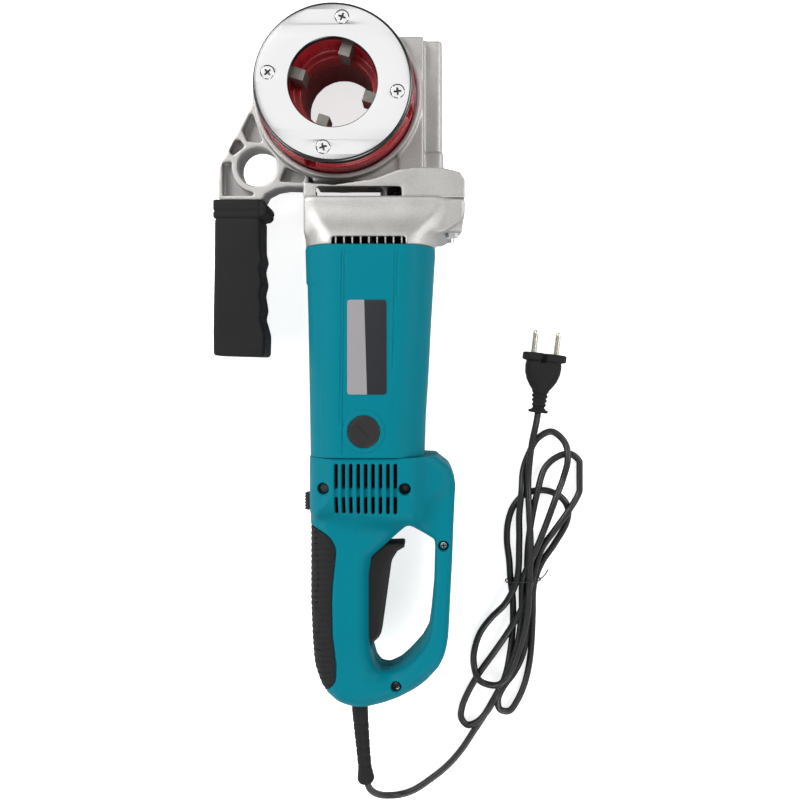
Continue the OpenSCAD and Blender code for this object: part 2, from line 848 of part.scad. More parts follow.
// Outline of the motor housing from the front, shrunk by inset
module motor_plan(inset) {
    polygon([[motor_x - motor_w / 2 + inset, bracket_end_y + 1], [motor_x + motor_w / 2 - inset, bracket_end_y + 1],
        [motor_x + motor_w / 2 - 6 - inset, motor_end_y - 1], [motor_x - motor_w / 2 + 4.5 + inset, motor_end_y - 1]]);
}

module motor_housing() {
    color([0, 0.55, 0.62])
        difference() {
            intersection() {
                along_y(motor_end_y, motor_len)
                    round_rect(motor_x - motor_w / 2, 0, motor_x + motor_w / 2, motor_h, 28);
                along_z(-1, motor_h + 2)
                    motor_plan(0);
            }
            intersection() {
                along_y(motor_end_y + 10, motor_len)
                    round_rect(motor_x - motor_w / 2 + shell_wall, shell_wall, motor_x + motor_w / 2 - shell_wall,
                        motor_h - shell_wall, 25);
                along_z(-1, motor_h + 2)
                    motor_plan(shell_wall);
            }
            rod(motor_x, motor_z, rear_bearing_y, 12, 11);
            for (s = [-1, 1])
                translate([motor_x - 1.5, brush_y, motor_z + s * 45])
                    cylinder(h = 12, r = 12.6, center = true, $fn = fine);
            translate([motor_x + 0.9 - 15, -238, motor_h - 0.8])
                cube([30, 72, 2]);
        }
}

module motor_screws() {
    color([0.7, 0.7, 0.72])
        for (x = [-36, 36], z = [-30, 30])
            rod(motor_x + x, motor_z + z, -158, 46, 2.2, small);
}

module name_plate() {
    color([0.3, 0.3, 0.32])
        along_z(motor_h - 0.8, 0.8)
            round_rect(motor_x + 0.9 - 14.9, -237.9, motor_x + 0.9 + 14.9, -166.1, 2);
}

module brush_caps() {
    color([0.07, 0.07, 0.07])
        for (s = [-1, 1])
            translate([motor_x - 1.5, brush_y, motor_z + s * (motor_h / 2 - 2.6)])
                difference() {
                    cylinder(h = 4, r = 12.4, center = true, $fn = fine);
                    translate([-7, -1, s > 0 ? 0.8 : -3.8])
                        cube([14, 2, 3]);
                }
}

module brush_holders() {
    color([0.75, 0.6, 0.3])
        for (s = [-1, 1])
            translate([motor_x, brush_y, motor_z + s * 27])
                difference() {
                    cube([11, 13, 26], center = true);
                    cube([7.04, 9.04, 30], center = true);
                }
}

module carbon_brushes() {
    color([0.2, 0.2, 0.2])
        for (s = [-1, 1])
            translate([motor_x, brush_y, motor_z + s * 22.4])
                cube([7, 9, 18], center = true);
}

// ---------- handle ----------

// One hollow half of the handle, from the split plane outwards along +Z
module half_shell(depth, box_depth) {
    difference() {
        union() {
            along_z(0, depth)
                handle_outline();
            along_z(0, box_depth)
                translate([0, hy])
                    round_rect(handle_left + 0.2, -336, 66, -286, 7);
            along_z(0, box_depth - 8)
                translate([0, hy])
                    polygon([[60, -286], [70, -286], [84, -296], [86, -310], [60, -330]]);
        }
        along_z(-1, depth - shell_wall + 1)
            difference() {
                offset(delta = -shell_wall)
                    difference() {
                        handle_outline();
                        finger_outline();
                    }
                translate([84.5, -356 + hy])
                    circle(r = 5, $fn = small);
                translate([47.5, -466.5 + hy])
                    circle(r = 5, $fn = small);
                translate([pivot_x, pivot_y])
                    circle(r = 5, $fn = small);
            }
        along_z(-1, box_depth - shell_wall + 1)
            difference() {
                translate([0, hy])
                    round_rect(handle_left + 0.2 + shell_wall, -336 + shell_wall, 66 - shell_wall, -286 - shell_wall, 5);
                translate([-7.6, -310 + hy])
                    circle(r = 6, $fn = small);
                translate([54.9, -310 + hy])
                    circle(r = 6, $fn = small);
            }
        along_z(-1, 100)
            finger_outline();
    }
}

// Screw holes through both handle halves
module handle_holes() {
    for (p = [[84.5, -356], [47.5, -466.5], [-7.6, -310], [54.9, -310]])
        translate([p[0], p[1] + hy, -1])
            cylinder(h = 100, r = 2, $fn = small);
    translate([pivot_x, pivot_y, split_z - 16])
        cylinder(h = 32, r = 2, $fn = small);
}

module handle_front_shell() {
    color([0, 0.55, 0.62])
        difference() {
            translate([0, 0, split_z])
                half_shell(handle_t / 2, box_high - split_z);
            handle_holes();
            translate([54.9, -310 + hy, box_high - 6])
                cylinder(h = 10, r = 4.6, $fn = small);
            translate([-7.6, -310 + hy, box_high - 6])
                cylinder(h = 10, r = 4.6, $fn = small);
            translate([84.5, -356 + hy, handle_high - 2])
                cylinder(h = 10, r = 4.2, $fn = small);
            translate([47.5, -466.5 + hy, handle_high - 2])
                cylinder(h = 10, r = 4.2, $fn = small);
            for (k = [0 : 8]) {
                translate([1.2 + 5.65 * k, -309.5 + hy, box_high - 6])
                    cube([2.7, 19, 12]);
                translate([1.2 + 5.65 * k, -329 + hy, box_high - 6])
                    cube([2.7, 13, 12]);
            }
            trigger_room();
            pad_skin();
            side_room();
        }
}

module handle_rear_shell() {
    color([0, 0.55, 0.62])
        difference() {
            translate([0, 0, split_z])
                mirror([0, 0, 1])
                    half_shell(handle_t / 2, split_z - box_low);
            handle_holes();
            for (k = [0 : 8]) {
                translate([1.2 + 5.65 * k, -309.5 + hy, box_low - 6])
                    cube([2.7, 19, 12]);
                translate([1.2 + 5.65 * k, -329 + hy, box_low - 6])
                    cube([2.7, 13, 12]);
            }
            trigger_room();
            pad_skin();
            side_room();
        }
}

// Mouth in the shells that the trigger moves through
module trigger_room() {
    along_z(split_z - 11.5, 23)
        translate([0, hy])
            polygon([[10, -440], [34, -440], [34, -425], [60, -370], [60, -352], [12, -352]]);
}

// Skin of the palm side, wrapped round from the front face to the back face
module pad_skin() {
    difference() {
        along_z(handle_low, handle_t)
            intersection() {
                pad_outline();
                handle_outline();
            }
        along_z(handle_low + pad_t, handle_t - 2 * pad_t)
            offset(delta = -pad_t)
                handle_outline();
    }
}

// Openings for the direction switch and the cord
module side_room() {
    translate([handle_left - 2, -341 + hy, split_z - 5])
        cube([8, 25, 10]);
    rod(relief_x, split_z, handle_end_y - 8, 20, 5.6);
}

module handle_screws() {
    color([0.8, 0.8, 0.82]) {
        for (p = [[84.5, -356], [47.5, -466.5]])
            translate([p[0], p[1] + hy, 0]) {
                translate([0, 0, handle_low + 4])
                    cylinder(h = handle_t - 5, r = 2, $fn = small);
                translate([0, 0, handle_high - 2])
                    cylinder(h = 1.8, r = 4, $fn = small);
            }
        for (p = [[-7.6, -310], [54.9, -310]])
            translate([p[0], p[1] + hy, 0]) {
                translate([0, 0, box_low + 4])
                    cylinder(h = box_high - box_low - 9, r = 2, $fn = small);
                translate([0, 0, box_high - 6])
                    cylinder(h = 2, r = 4, $fn = small);
            }
    }
}

module palm_pad() {
    color([0.09, 0.09, 0.09])
        pad_skin();
}

module trigger() {
    color([0.12, 0.12, 0.13])
        along_z(split_z - 10.5, 21)
            difference() {
                trigger_outline();
                translate([pivot_x, pivot_y])
                    circle(r = 2 + run, $fn = small);
            }
}

module trigger_pin() {
    color([0.7, 0.7, 0.72])
        translate([pivot_x, pivot_y, split_z - 16])
            cylinder(h = 32, r = 2, $fn = small);
}

module trigger_spring() {
    color([0.5, 0.5, 0.52])
        translate([13, -385 + hy, split_z])
            rotate([0, 90, 0])
                difference() {
                    cylinder(h = 8.7, r = 3.4, $fn = small);
                    translate([0, 0, -1])
                        cylinder(h = 12, r = 2.4, $fn = small);
                }
}

module switch_block() {
    color([0.14, 0.14, 0.15])
        translate([-12, -405 + hy, split_z - 9])
            cube([25, 42, 18]);
}

module direction_switch() {
    color([0.05, 0.05, 0.05]) {
        translate([handle_left - 4.4, -331 + hy, split_z - 4.5])
            cube([9, 14, 9]);
    }
}

module capacitor() {
    color([0.75, 0.72, 0.3])
        translate([-10, -357 + hy, split_z - 7])
            cube([18, 12, 14]);
}

module cable_clamp() {
    color([0.15, 0.15, 0.16])
        translate([relief_x - 11, handle_end_y + 18, split_z - 9])
            difference() {
                cube([22, 10, 18]);
                translate([11, -1, 9])
                    rotate([-90, 0, 0])
                        cylinder(h = 12, r = cord_d / 2, $fn = small);
            }
}

module strain_relief() {
    color([0.07, 0.07, 0.07]) {
        hull() {
            rod(relief_x, split_z, handle_end_y - 1.5, 1, 6.2, small);
            rod(relief_x + 5, split_z - 12, handle_end_y - relief_len, 1, 7, small);
        }
        rod(relief_x, split_z, handle_end_y - 1, 17, 5.5, small);
    }
}

// ---------- cord and plug ----------

module cord_tail() {
    color([0.06, 0.06, 0.06])
        translate([0, hy, 0])
            tube(tail_points, cord_d / 2, 10);
}

module cord_hank() {
    color([0.06, 0.06, 0.06])
        translate([0, hy, 0])
            along_z(0, hank_h) {
                hull() {
                    translate(hank_low)
                        circle(r = hank_low_r, $fn = small);
                    translate(hank_mid)
                        circle(r = hank_mid_r, $fn = small);
                }
                hull() {
                    translate(hank_mid)
                        circle(r = hank_mid_r, $fn = small);
                    translate(hank_high)
                        circle(r = hank_high_r, $fn = small);
                }
            }
}

module cord_tie() {
    color([0.1, 0.1, 0.1])
        translate([hank_mid[0] - 12, hank_mid[1] - 1.5 + hy, hank_h])
            cube([24, 3, 1.2]);
}

module cord_lead() {
    color([0.06, 0.06, 0.06])
        translate([0, hy, 0])
            tube(lead_points, cord_d / 2, 10);
}

module plug_body() {
    color([0.07, 0.07, 0.07])
        translate([plug_x, plug_y + hy, plug_z])
            rotate([0, 0, plug_tilt]) {
                rod(0, 0, 0, 3, 8);
                rod(0, 0, 3, 16, 6.4);
                along_y(18, 28)
                    round_rect(-14, -11, 14, 11, 8);
                along_y(42, 8)
                    round_rect(-18.5, -13.5, 18.5, 13.5, 9);
            }
}

module plug_pins() {
    color([0.78, 0.74, 0.62])
        translate([plug_x, plug_y + hy, plug_z])
            rotate([0, 0, plug_tilt])
                for (s = [-1, 1])
                    rod(s * 9.5, 0, 50, 19, 2.4, small);
}

gear_housing();
ring_retainer();
ring_bushes();
drive_ring();
ring_circlip();
die_body();
cover_plate();
plate_screws();
chasers();
worm_shaft();
worm();
worm_gear();
worm_bearings();
intermediate_shaft();
intermediate_gear();
intermediate_bearings();
motor_bracket();
case_screws();
support_arm();
arm_core();
arm_grip();
armature_shaft();
armature_core();
windings();
commutator();
fan();
motor_bearings();
stator_core();
field_coils();
fan_baffle();
motor_housing();
motor_screws();
name_plate();
brush_caps();
brush_holders();
carbon_brushes();
handle_front_shell();
handle_rear_shell();
handle_screws();
palm_pad();
trigger();
trigger_pin();
trigger_spring();
switch_block();
direction_switch();
capacitor();
cable_clamp();
strain_relief();
cord_tail();
cord_hank();
cord_tie();
cord_lead();
plug_body();
plug_pins();
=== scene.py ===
# %% [markdown]
# # A hand-held pipe threading machine
# The machine lies on its back on a pale floor. A motor in a blue-green plastic housing drives a worm,
# the worm turns a ring in a cast housing, and the die head sits in that ring with its cutters round
# the pipe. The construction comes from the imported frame, so every piece here starts from the box or
# the outline of a frame part, and takes only its finish and its fine shape from this lesson.

# %% Load the frame
import json
import math

import bmesh
import bpy
import numpy as np
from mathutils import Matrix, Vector
from mathutils.geometry import tessellate_polygon


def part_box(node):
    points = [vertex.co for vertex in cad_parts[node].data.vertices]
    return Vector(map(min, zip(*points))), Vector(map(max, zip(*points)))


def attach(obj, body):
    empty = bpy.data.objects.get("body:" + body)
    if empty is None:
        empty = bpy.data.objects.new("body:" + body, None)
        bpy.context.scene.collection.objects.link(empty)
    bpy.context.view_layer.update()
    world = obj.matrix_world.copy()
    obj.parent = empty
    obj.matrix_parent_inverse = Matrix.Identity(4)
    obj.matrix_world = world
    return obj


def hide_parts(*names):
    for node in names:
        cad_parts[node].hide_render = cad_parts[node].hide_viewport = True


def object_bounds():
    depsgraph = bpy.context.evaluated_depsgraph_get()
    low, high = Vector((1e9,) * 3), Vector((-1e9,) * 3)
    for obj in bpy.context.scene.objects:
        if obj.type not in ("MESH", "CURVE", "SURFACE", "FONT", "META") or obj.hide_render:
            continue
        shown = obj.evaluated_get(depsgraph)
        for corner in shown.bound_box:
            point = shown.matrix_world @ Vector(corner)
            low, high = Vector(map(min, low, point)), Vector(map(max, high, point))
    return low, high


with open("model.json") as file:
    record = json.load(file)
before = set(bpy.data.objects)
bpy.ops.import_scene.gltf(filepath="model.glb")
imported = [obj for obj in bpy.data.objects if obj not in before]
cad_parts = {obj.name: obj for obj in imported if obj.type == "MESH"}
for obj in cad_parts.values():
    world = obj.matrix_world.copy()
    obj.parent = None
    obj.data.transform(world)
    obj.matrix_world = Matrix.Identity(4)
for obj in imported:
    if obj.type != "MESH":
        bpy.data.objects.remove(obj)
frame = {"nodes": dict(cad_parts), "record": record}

cad_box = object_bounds()
MM = 0.001
print("frame parts:", len(frame["nodes"]), "box:", [[round(c, 4) for c in corner] for corner in cad_box])

# %% [markdown]
# ## Camera
# The machine is seen from straight above. One lens placed about three quarters of a metre up gives the
# strong perspective that lets the camera look down into the ring from the side. The camera stands over
# the middle of the layout, and a small shift frames the whole machine with its cord.

# %% Camera
scene = bpy.context.scene
camera_data = bpy.data.cameras.new("camera")
camera_data.sensor_width = 36.0
camera_data.lens = 39.9
camera_data.shift_x = -0.0475
camera_data.shift_y = -0.0275
camera = bpy.data.objects.new("camera", camera_data)
camera.location = (0.0802, -0.2253, 0.760)
scene.collection.objects.link(camera)
scene.camera = camera
print("camera height:", camera.location.z)

# %% [markdown]
# ## Small tools for numpy surfaces
# Nearly every piece is a grid of points: rows that follow a profile, columns that follow a loop or a
# circle. Two helpers turn such a grid into faces and into an object. Working on whole arrays keeps the
# shape in one readable formula, and the same two helpers then serve every piece.

# %% Grids and objects
def grid_faces(rows, columns, closed_columns=True, closed_rows=False):
    """Quads between neighbouring rows and columns of a grid whose point (r, c) has index r * columns + c."""
    r = np.arange(rows if closed_rows else rows - 1)[:, None]
    c = np.arange(columns if closed_columns else columns - 1)[None, :]
    r2, c2 = (r + 1) % rows, (c + 1) % columns
    quads = np.stack([r * columns + c, r * columns + c2, r2 * columns + c2, r2 * columns + c], axis=-1)
    return quads.reshape(-1, 4).tolist()


def joined(parts):
    """One (points, faces) pair made of several. Each part's face indices move past the earlier points."""
    points, faces, start = [], [], 0
    for p, f in parts:
        points.append(np.asarray(p, float).reshape(-1, 3))
        faces += [[i + start for i in face] for face in f]
        start += len(points[-1])
    return np.concatenate(points), faces


def placed(name, mesh, body, slot, replaces):
    """The object of a finished mesh: smooth, in the finish of its slot, riding on its body, and standing for
    the frame parts that it replaces."""
    mesh.polygons.foreach_set("use_smooth", np.ones(len(mesh.polygons), bool))
    mesh.materials.append(FINISH[slot])
    piece = bpy.data.objects.new(name, mesh)
    scene.collection.objects.link(piece)
    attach(piece, body)
    if replaces:
        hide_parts(*replaces)
    return piece


def add_piece(name, parts, body, slot, replaces=(), sharp=35):
    """Makes one mesh object from (points, faces) parts given in metres, smooth except at sharp edges."""
    points, faces = joined(parts)
    mesh = bpy.data.meshes.new(name)
    mesh.from_pydata(points.tolist(), [], faces)
    b = bmesh.new()
    b.from_mesh(mesh)
    bmesh.ops.remove_doubles(b, verts=b.verts, dist=2e-6)
    bmesh.ops.dissolve_degenerate(b, edges=b.edges, dist=1e-7)
    bmesh.ops.recalc_face_normals(b, faces=b.faces)
    b.to_mesh(mesh)
    b.free()
    mesh.validate()
    piece = placed(name, mesh, body, slot, replaces)
    mesh.set_sharp_from_angle(angle=math.radians(sharp))
    return piece

# %% [markdown]
# ## Loops
# A moulded or cast piece is mostly an outline pushed upwards. The outline of each frame part is found by
# cutting its mesh with a level plane, so the finished piece can't drift away from the construction. The
# loops are then spaced evenly, softened a little, and moved inwards by a set distance for the fillets.

# %% Loop tools
def sections(node, z):
    """Closed loops, in metres, where the level plane at height z cuts a frame part, largest first."""
    b = bmesh.new()
    b.from_mesh(frame["nodes"][node].data)
    bmesh.ops.remove_doubles(b, verts=b.verts, dist=1e-6)
    cut = bmesh.ops.bisect_plane(b, geom=b.verts[:] + b.edges[:] + b.faces[:], plane_co=(0, 0, z),
                                 plane_no=(0, 0, 1), clear_inner=True, clear_outer=True)
    edges = [e for e in b.edges if e.is_valid]
    b.verts.index_update()
    links = {}
    for e in edges:
        for v in e.verts:
            links.setdefault(v.index, []).append(e)
    loops, used = [], set()
    for e in edges:
        if e in used:
            continue
        used.add(e)
        first, here = e.verts
        loop = [first.co.copy(), here.co.copy()]
        while True:
            after = [x for x in links[here.index] if x not in used]
            if not after:
                break
            used.add(after[0])
            here = after[0].other_vert(here)
            loop.append(here.co.copy())
        loops.append(np.array([[p.x, p.y] for p in loop[:-1]]))
    b.free()
    return sorted([l for l in loops if len(l) > 3], key=lambda l: -abs(area(l)))


def area(loop):
    """Signed area of a loop: half the sum of the cross products of neighbouring points."""
    x, y = loop[:, 0], loop[:, 1]
    return 0.5 * np.sum(x * np.roll(y, -1) - np.roll(x, -1) * y)


def turned(loop):
    """The loop in counter-clockwise order, so that the material is on its left."""
    return loop if area(loop) > 0 else loop[::-1]


def evenly(loop, step):
    """The loop with points at equal distances of about step along its length."""
    closed = np.vstack([loop, loop[:1]])
    s = np.concatenate([[0], np.cumsum(np.linalg.norm(np.diff(closed, axis=0), axis=1))])
    n = max(24, int(round(s[-1] / step)))
    t = np.linspace(0, s[-1], n, endpoint=False)
    return np.stack([np.interp(t, s, closed[:, 0]), np.interp(t, s, closed[:, 1])], axis=1)


def softened(loop, times):
    """The loop with each point moved towards the mean of its neighbours, times over."""
    for _ in range(times):
        loop = 0.5 * loop + 0.25 * (np.roll(loop, 1, axis=0) + np.roll(loop, -1, axis=0))
    return loop


def inset(loop, distance):
    """The loop moved to its left by distance, along normals square to the line between its neighbours."""
    tangent = np.roll(loop, -2, axis=0) - np.roll(loop, 2, axis=0)
    tangent /= np.linalg.norm(tangent, axis=1)[:, None] + 1e-12
    return loop + distance * np.stack([-tangent[:, 1], tangent[:, 0]], axis=1)


def circle(x, y, r, n=64, counter_clockwise=False):
    """Points on a circle: centre plus r times (cos, sin) of an even angle."""
    a = np.linspace(0, 2 * np.pi, n, endpoint=False) * (1 if counter_clockwise else -1)
    return np.stack([x + r * np.cos(a), y + r * np.sin(a)], axis=1)


def wall(loop, profile):
    """A loop carried along a profile of (inset, height) steps: one row of points per step."""
    rows = [np.column_stack([inset(loop, d) if abs(d) > 1e-9 else loop, np.full(len(loop), z)])
            for d, z in profile]
    return np.concatenate(rows), grid_faces(len(rows), len(loop))


def cap(loops, z, up=True):
    """A flat face at height z bounded by an outer loop and the holes in it, as triangles."""
    lines = [[Vector((x, y, 0)) for x, y in loop] for loop in loops]
    points = np.concatenate([np.column_stack([loop, np.full(len(loop), z)]) for loop in loops])
    triangles = []
    for t in tessellate_polygon(lines):
        a, b, c = (points[i, :2] for i in t)
        facing = (b[0] - a[0]) * (c[1] - a[1]) - (b[1] - a[1]) * (c[0] - a[0])
        triangles.append(list(t) if (facing > 0) == up else list(t)[::-1])
    return points, triangles


def fillet(r, z_from, z_to, steps=5):
    """Profile of a wall that rises from z_from to z_to and turns inwards there on a quarter circle of radius
    r."""
    a = np.linspace(0, np.pi / 2, steps)
    return [(0.0, z_from)] + [(r * (1 - math.cos(t)), z_to - r * (1 - math.sin(t))) for t in a]


def slab(outer, holes, z_low, z_high, r):
    """A plate with a rounded rim: outer wall, fillet, top and bottom faces, and a wall for each hole, which is
    given as (loop, fillet radius)."""
    rim = fillet(r, z_low, z_high)
    parts, tops, bottoms = [wall(outer, rim)], [inset(outer, rim[-1][0])], [outer]
    for loop, hole_fillet in holes:
        parts.append(wall(loop, fillet(hole_fillet, z_low, z_high, 4)))
        tops.append(inset(loop, hole_fillet))
        bottoms.append(loop)
    return parts + [cap(tops, z_high), cap(bottoms, z_low, up=False)]


def lathe(profile, x, y):
    """A closed profile of (radius, height) points turned round the upright axis at (x, y)."""
    profile = np.asarray(profile, float)
    a = np.linspace(0, 2 * np.pi, 96, endpoint=False)
    r, z = profile[:, 0][:, None], profile[:, 1][:, None]
    points = np.stack([x + r * np.cos(a), y + r * np.sin(a), z + 0 * a], axis=-1).reshape(-1, 3)
    return points, grid_faces(len(profile), len(a))


def end_fan(ring, outward_first=True):
    """A closed face over a ring of points, as a fan about their mean point."""
    ring = np.asarray(ring)
    n = len(ring)
    points = np.vstack([ring, ring.mean(0)])
    faces = [[i, (i + 1) % n, n] for i in range(n)]
    return points, faces if outward_first else [f[::-1] for f in faces]

# %% [markdown]
# ## The mains cord
# The cord is one smooth line: out of the strain relief, down to the floor, along the floor in a wide
# bend, and then into a bundle held by a wire tie, with three loops above the tie and three below it. It
# ends in the plug. A curve through listed points follows that best, because no rule makes such loops.
# Where one strand crosses another it passes over in a low hump.

# %% Cord
def smooth_line(points, per_span=10):
    """A centripetal Catmull-Rom line through the points: cubic spans that share their slopes."""
    p = np.asarray(points, float)
    p = np.vstack([2 * p[0] - p[1], p, 2 * p[-1] - p[-2]])
    t = np.concatenate([[0], np.cumsum(np.linalg.norm(np.diff(p, axis=0), axis=1) ** 0.5)])
    out = []
    for i in range(1, len(p) - 2):
        u = np.linspace(t[i], t[i + 1], per_span, endpoint=False)[:, None]

        def between(a, b, start, end):
            return (t[end] - u) / (t[end] - t[start]) * a + (u - t[start]) / (t[end] - t[start]) * b

        a1, a2, a3 = (between(p[k - 1], p[k], k - 1, k) for k in (i, i + 1, i + 2))
        b1, b2 = between(a1, a2, i - 1, i + 1), between(a2, a3, i, i + 2)
        out.append(between(b1, b2, i, i + 1))
    return np.vstack(out + [p[-2:-1]])


CORD_D = 0.0056
TAIL = [(21.5, -555, 33), (24, -565, 27), (30, -573.5, 18), (38, -578.5, 9.5), (48, -580, 4.5),
        (59, -577, 3.5), (73, -568, 3.5), (88, -556, 3.5), (100, -542.5, 3.5), (110, -527.5, 3.5),
        (119, -514, 3.5)]
LOOPS = [(130, -495, 3.5), (137, -481, 3.5), (141, -464, 3.5), (144, -438, 3.5), (144, -414, 3.5),
         (142, -396, 3.5), (141, -381, 3.5), (139, -364, 3.5), (140, -348, 3.5), (145, -334, 3.5),
         (155, -324, 3.5), (170, -321, 3.5), (184, -326, 3.5), (191, -336, 3.5), (190, -348, 3.5),
         (180, -366, 3.5), (168, -384, 3.5), (162, -402, 3.5), (161, -427, 3.5), (160, -450, 3.5),
         (158, -469, 3.5), (154, -486, 3.5), (148, -500, 3.5), (141, -509, 4), (133, -507, 6),
         (131, -497, 9.5), (136, -486, 9.5), (145, -476, 5), (152, -462, 4), (155, -447, 4),
         (156, -425, 4), (156, -396, 4), (157, -367, 5), (160, -342, 9), (165, -319, 9.5),
         (171, -302, 6), (181, -293, 4), (193, -290, 3.5), (202, -298, 3.5), (204, -310, 3.5),
         (200, -324, 4), (190, -339, 9), (179, -354, 9.5), (168, -370, 9), (160, -396, 9),
         (152, -419, 9), (141, -438, 9.5), (128, -459, 4.5), (116, -476, 3.5), (107, -491, 3.5),
         (101, -505, 3.5), (100, -515, 3.5), (105, -521, 3.5), (113, -518, 6), (122, -507, 9.5),
         (130, -493, 9.5), (138, -476, 9.5), (147, -453, 9), (151, -424, 9), (152, -396, 9.5),
         (158, -380, 14), (165, -364, 15), (172, -346, 14.5), (179, -327, 14), (186, -311, 9),
         (190, -294, 9.5), (188, -280, 5), (177, -271, 3.5), (165, -277, 3.5), (159, -287, 3.5),
         (153, -303, 3.5), (151, -321, 9), (149, -341, 9.5), (149, -364, 9), (147, -396, 9),
         (138, -415, 9.5), (125, -430, 5), (116, -443, 3.5), (111, -459, 3.5), (111, -471, 4),
         (115, -481, 9), (124, -485, 9.5), (132, -483, 14), (140, -474, 15), (148, -455, 14.5),
         (155, -427, 14), (157, -396, 14.5), (158, -367, 15), (157, -340, 14.5), (156.5, -314, 9.5)]
LEAD = [(158, -294, 9), (160.5, -277, 9), (162.5, -267, 10), (163.8, -259, 12.5), (164.2, -254.5, 14)]
cord_line = smooth_line(TAIL + LOOPS + LEAD) * MM
cord_line[:, 0] = np.minimum(cord_line[:, 0], cad_box[1][0] - CORD_D / 2 - 0.0002)


def sweep(line, radius, sides=12, up=(0, 0, 1), closed=False):
    """A round tube along a line: at each point a circle square to the line, laid out from the direction that is
    level beside it. radius is one number or one for each point. The ends are closed."""
    step = np.roll(line, -1, axis=0) - np.roll(line, 1, axis=0) if closed else np.gradient(line, axis=0)
    along = step / np.linalg.norm(step, axis=1)[:, None]
    side = np.cross(along, up)
    side /= np.linalg.norm(side, axis=1)[:, None]
    top = np.cross(side, along)
    a = np.linspace(0, 2 * np.pi, sides, endpoint=False)[None, :, None]
    r = np.broadcast_to(np.asarray(radius, float), (len(line),))[:, None, None]
    rings = line[:, None, :] + r * (np.cos(a) * side[:, None, :] + np.sin(a) * top[:, None, :])
    tube = [(rings.reshape(-1, 3), grid_faces(len(line), sides, closed_rows=closed))]
    return tube if closed else tube + [end_fan(rings[0]), end_fan(rings[-1])]


# %% [markdown]
# ## Floor and light
# A plain pale floor and broad soft lamps, as in a small studio. The lamps stand low round the machine, so
# that level faces seen from above show their own colour and not a white reflection. One soft panel hangs
# where the bright plate mirrors it. An even pale world keeps the metal from reflecting black. The floor is
# a wide sheet that curves up far away on all sides, so that low views see no edge. It is no part of the
# object.

# %% Floor and lamps
LEVEL_R, RISE = 5.0, 0.35
side = np.linspace(-9.0, 9.0, 73)
floor_points = [(x, y, RISE * max(0.0, math.hypot(x, y) - LEVEL_R) ** 2) for y in side for x in side]
floor_mesh = bpy.data.meshes.new("floor")
floor_mesh.from_pydata(floor_points, [], grid_faces(len(side), len(side), closed_columns=False))
floor_mesh.polygons.foreach_set("use_smooth", np.ones(len(floor_mesh.polygons), bool))
floor = bpy.data.objects.new("floor", floor_mesh)
scene.collection.objects.link(floor)


def lamp(name, place, aim, size, power):
    """A square white area lamp of the given size that looks at aim from place."""
    data = bpy.data.lights.new(name, "AREA")
    data.shape, data.size, data.energy = "SQUARE", size, power
    lamp_object = bpy.data.objects.new(name, data)
    lamp_object.location = place
    lamp_object.rotation_euler = (Vector(aim) - Vector(place)).to_track_quat("-Z", "Y").to_euler()
    scene.collection.objects.link(lamp_object)


lamp("lamp_main", (-1.3, 1.1, 1.4), (0.0, -0.2, 0.0), 1.0, 40)
lamp("lamp_right", (1.7, 0.3, 1.2), (0.05, -0.25, 0.0), 1.0, 22)
lamp("lamp_low", (0.6, -1.9, 1.2), (0.05, -0.25, 0.0), 1.0, 20)
lamp("lamp_left", (-1.7, -0.9, 1.2), (0.0, -0.25, 0.0), 1.0, 18)
lamp("panel_for_plate", (-0.16, 0.5, 1.6), (-0.02, 0.05, 0.08), 0.95, 1.9)
scene.view_settings.view_transform = "Standard"
world = bpy.data.worlds.new("studio")
world.use_nodes = True
background = world.node_tree.nodes["Background"]
background.inputs["Color"].default_value = (1.0, 1.0, 1.0, 1)
background.inputs["Strength"].default_value = 0.3
scene.world = world

# %% [markdown]
# ## Shared surface effects
# Several finishes need the same kinds of small detail: the grain of a sand-blasted casting, the fine
# bite of a moulded plastic, and the fine lines of a turned or brushed metal. Each is built once as a
# node group with named sockets and put into every material that needs it with its own values. Each
# group gives a height for the bump and a shade that varies the colour and the gloss.

# %% Effect groups
def effect_group(name, inputs):
    """An empty shader group with a Vector input, the named number inputs, and Height and Shade outputs."""
    tree = bpy.data.node_groups.new(name, "ShaderNodeTree")
    tree.interface.new_socket("Vector", in_out="INPUT", socket_type="NodeSocketVector")
    for label, value in inputs:
        socket = tree.interface.new_socket(label, in_out="INPUT", socket_type="NodeSocketFloat")
        socket.default_value = value
    for label in ("Height", "Shade"):
        tree.interface.new_socket(label, in_out="OUTPUT", socket_type="NodeSocketFloat")
    return tree, tree.nodes.new("NodeGroupInput"), tree.nodes.new("NodeGroupOutput")


def noise(tree, vector, scale, detail, rough):
    """A noise texture node whose place and scale come from two sockets of the group."""
    n = tree.nodes.new("ShaderNodeTexNoise")
    tree.links.new(vector, n.inputs["Vector"])
    tree.links.new(scale, n.inputs["Scale"])
    n.inputs["Detail"].default_value = detail
    n.inputs["Roughness"].default_value = rough
    return n.outputs["Fac"]


def math_node(tree, kind, a, b):
    """One math node on two sockets or numbers."""
    n = tree.nodes.new("ShaderNodeMath")
    n.operation = kind
    for i, v in enumerate((a, b)):
        if isinstance(v, (int, float)):
            n.inputs[i].default_value = v
        else:
            tree.links.new(v, n.inputs[i])
    return n.outputs[0]


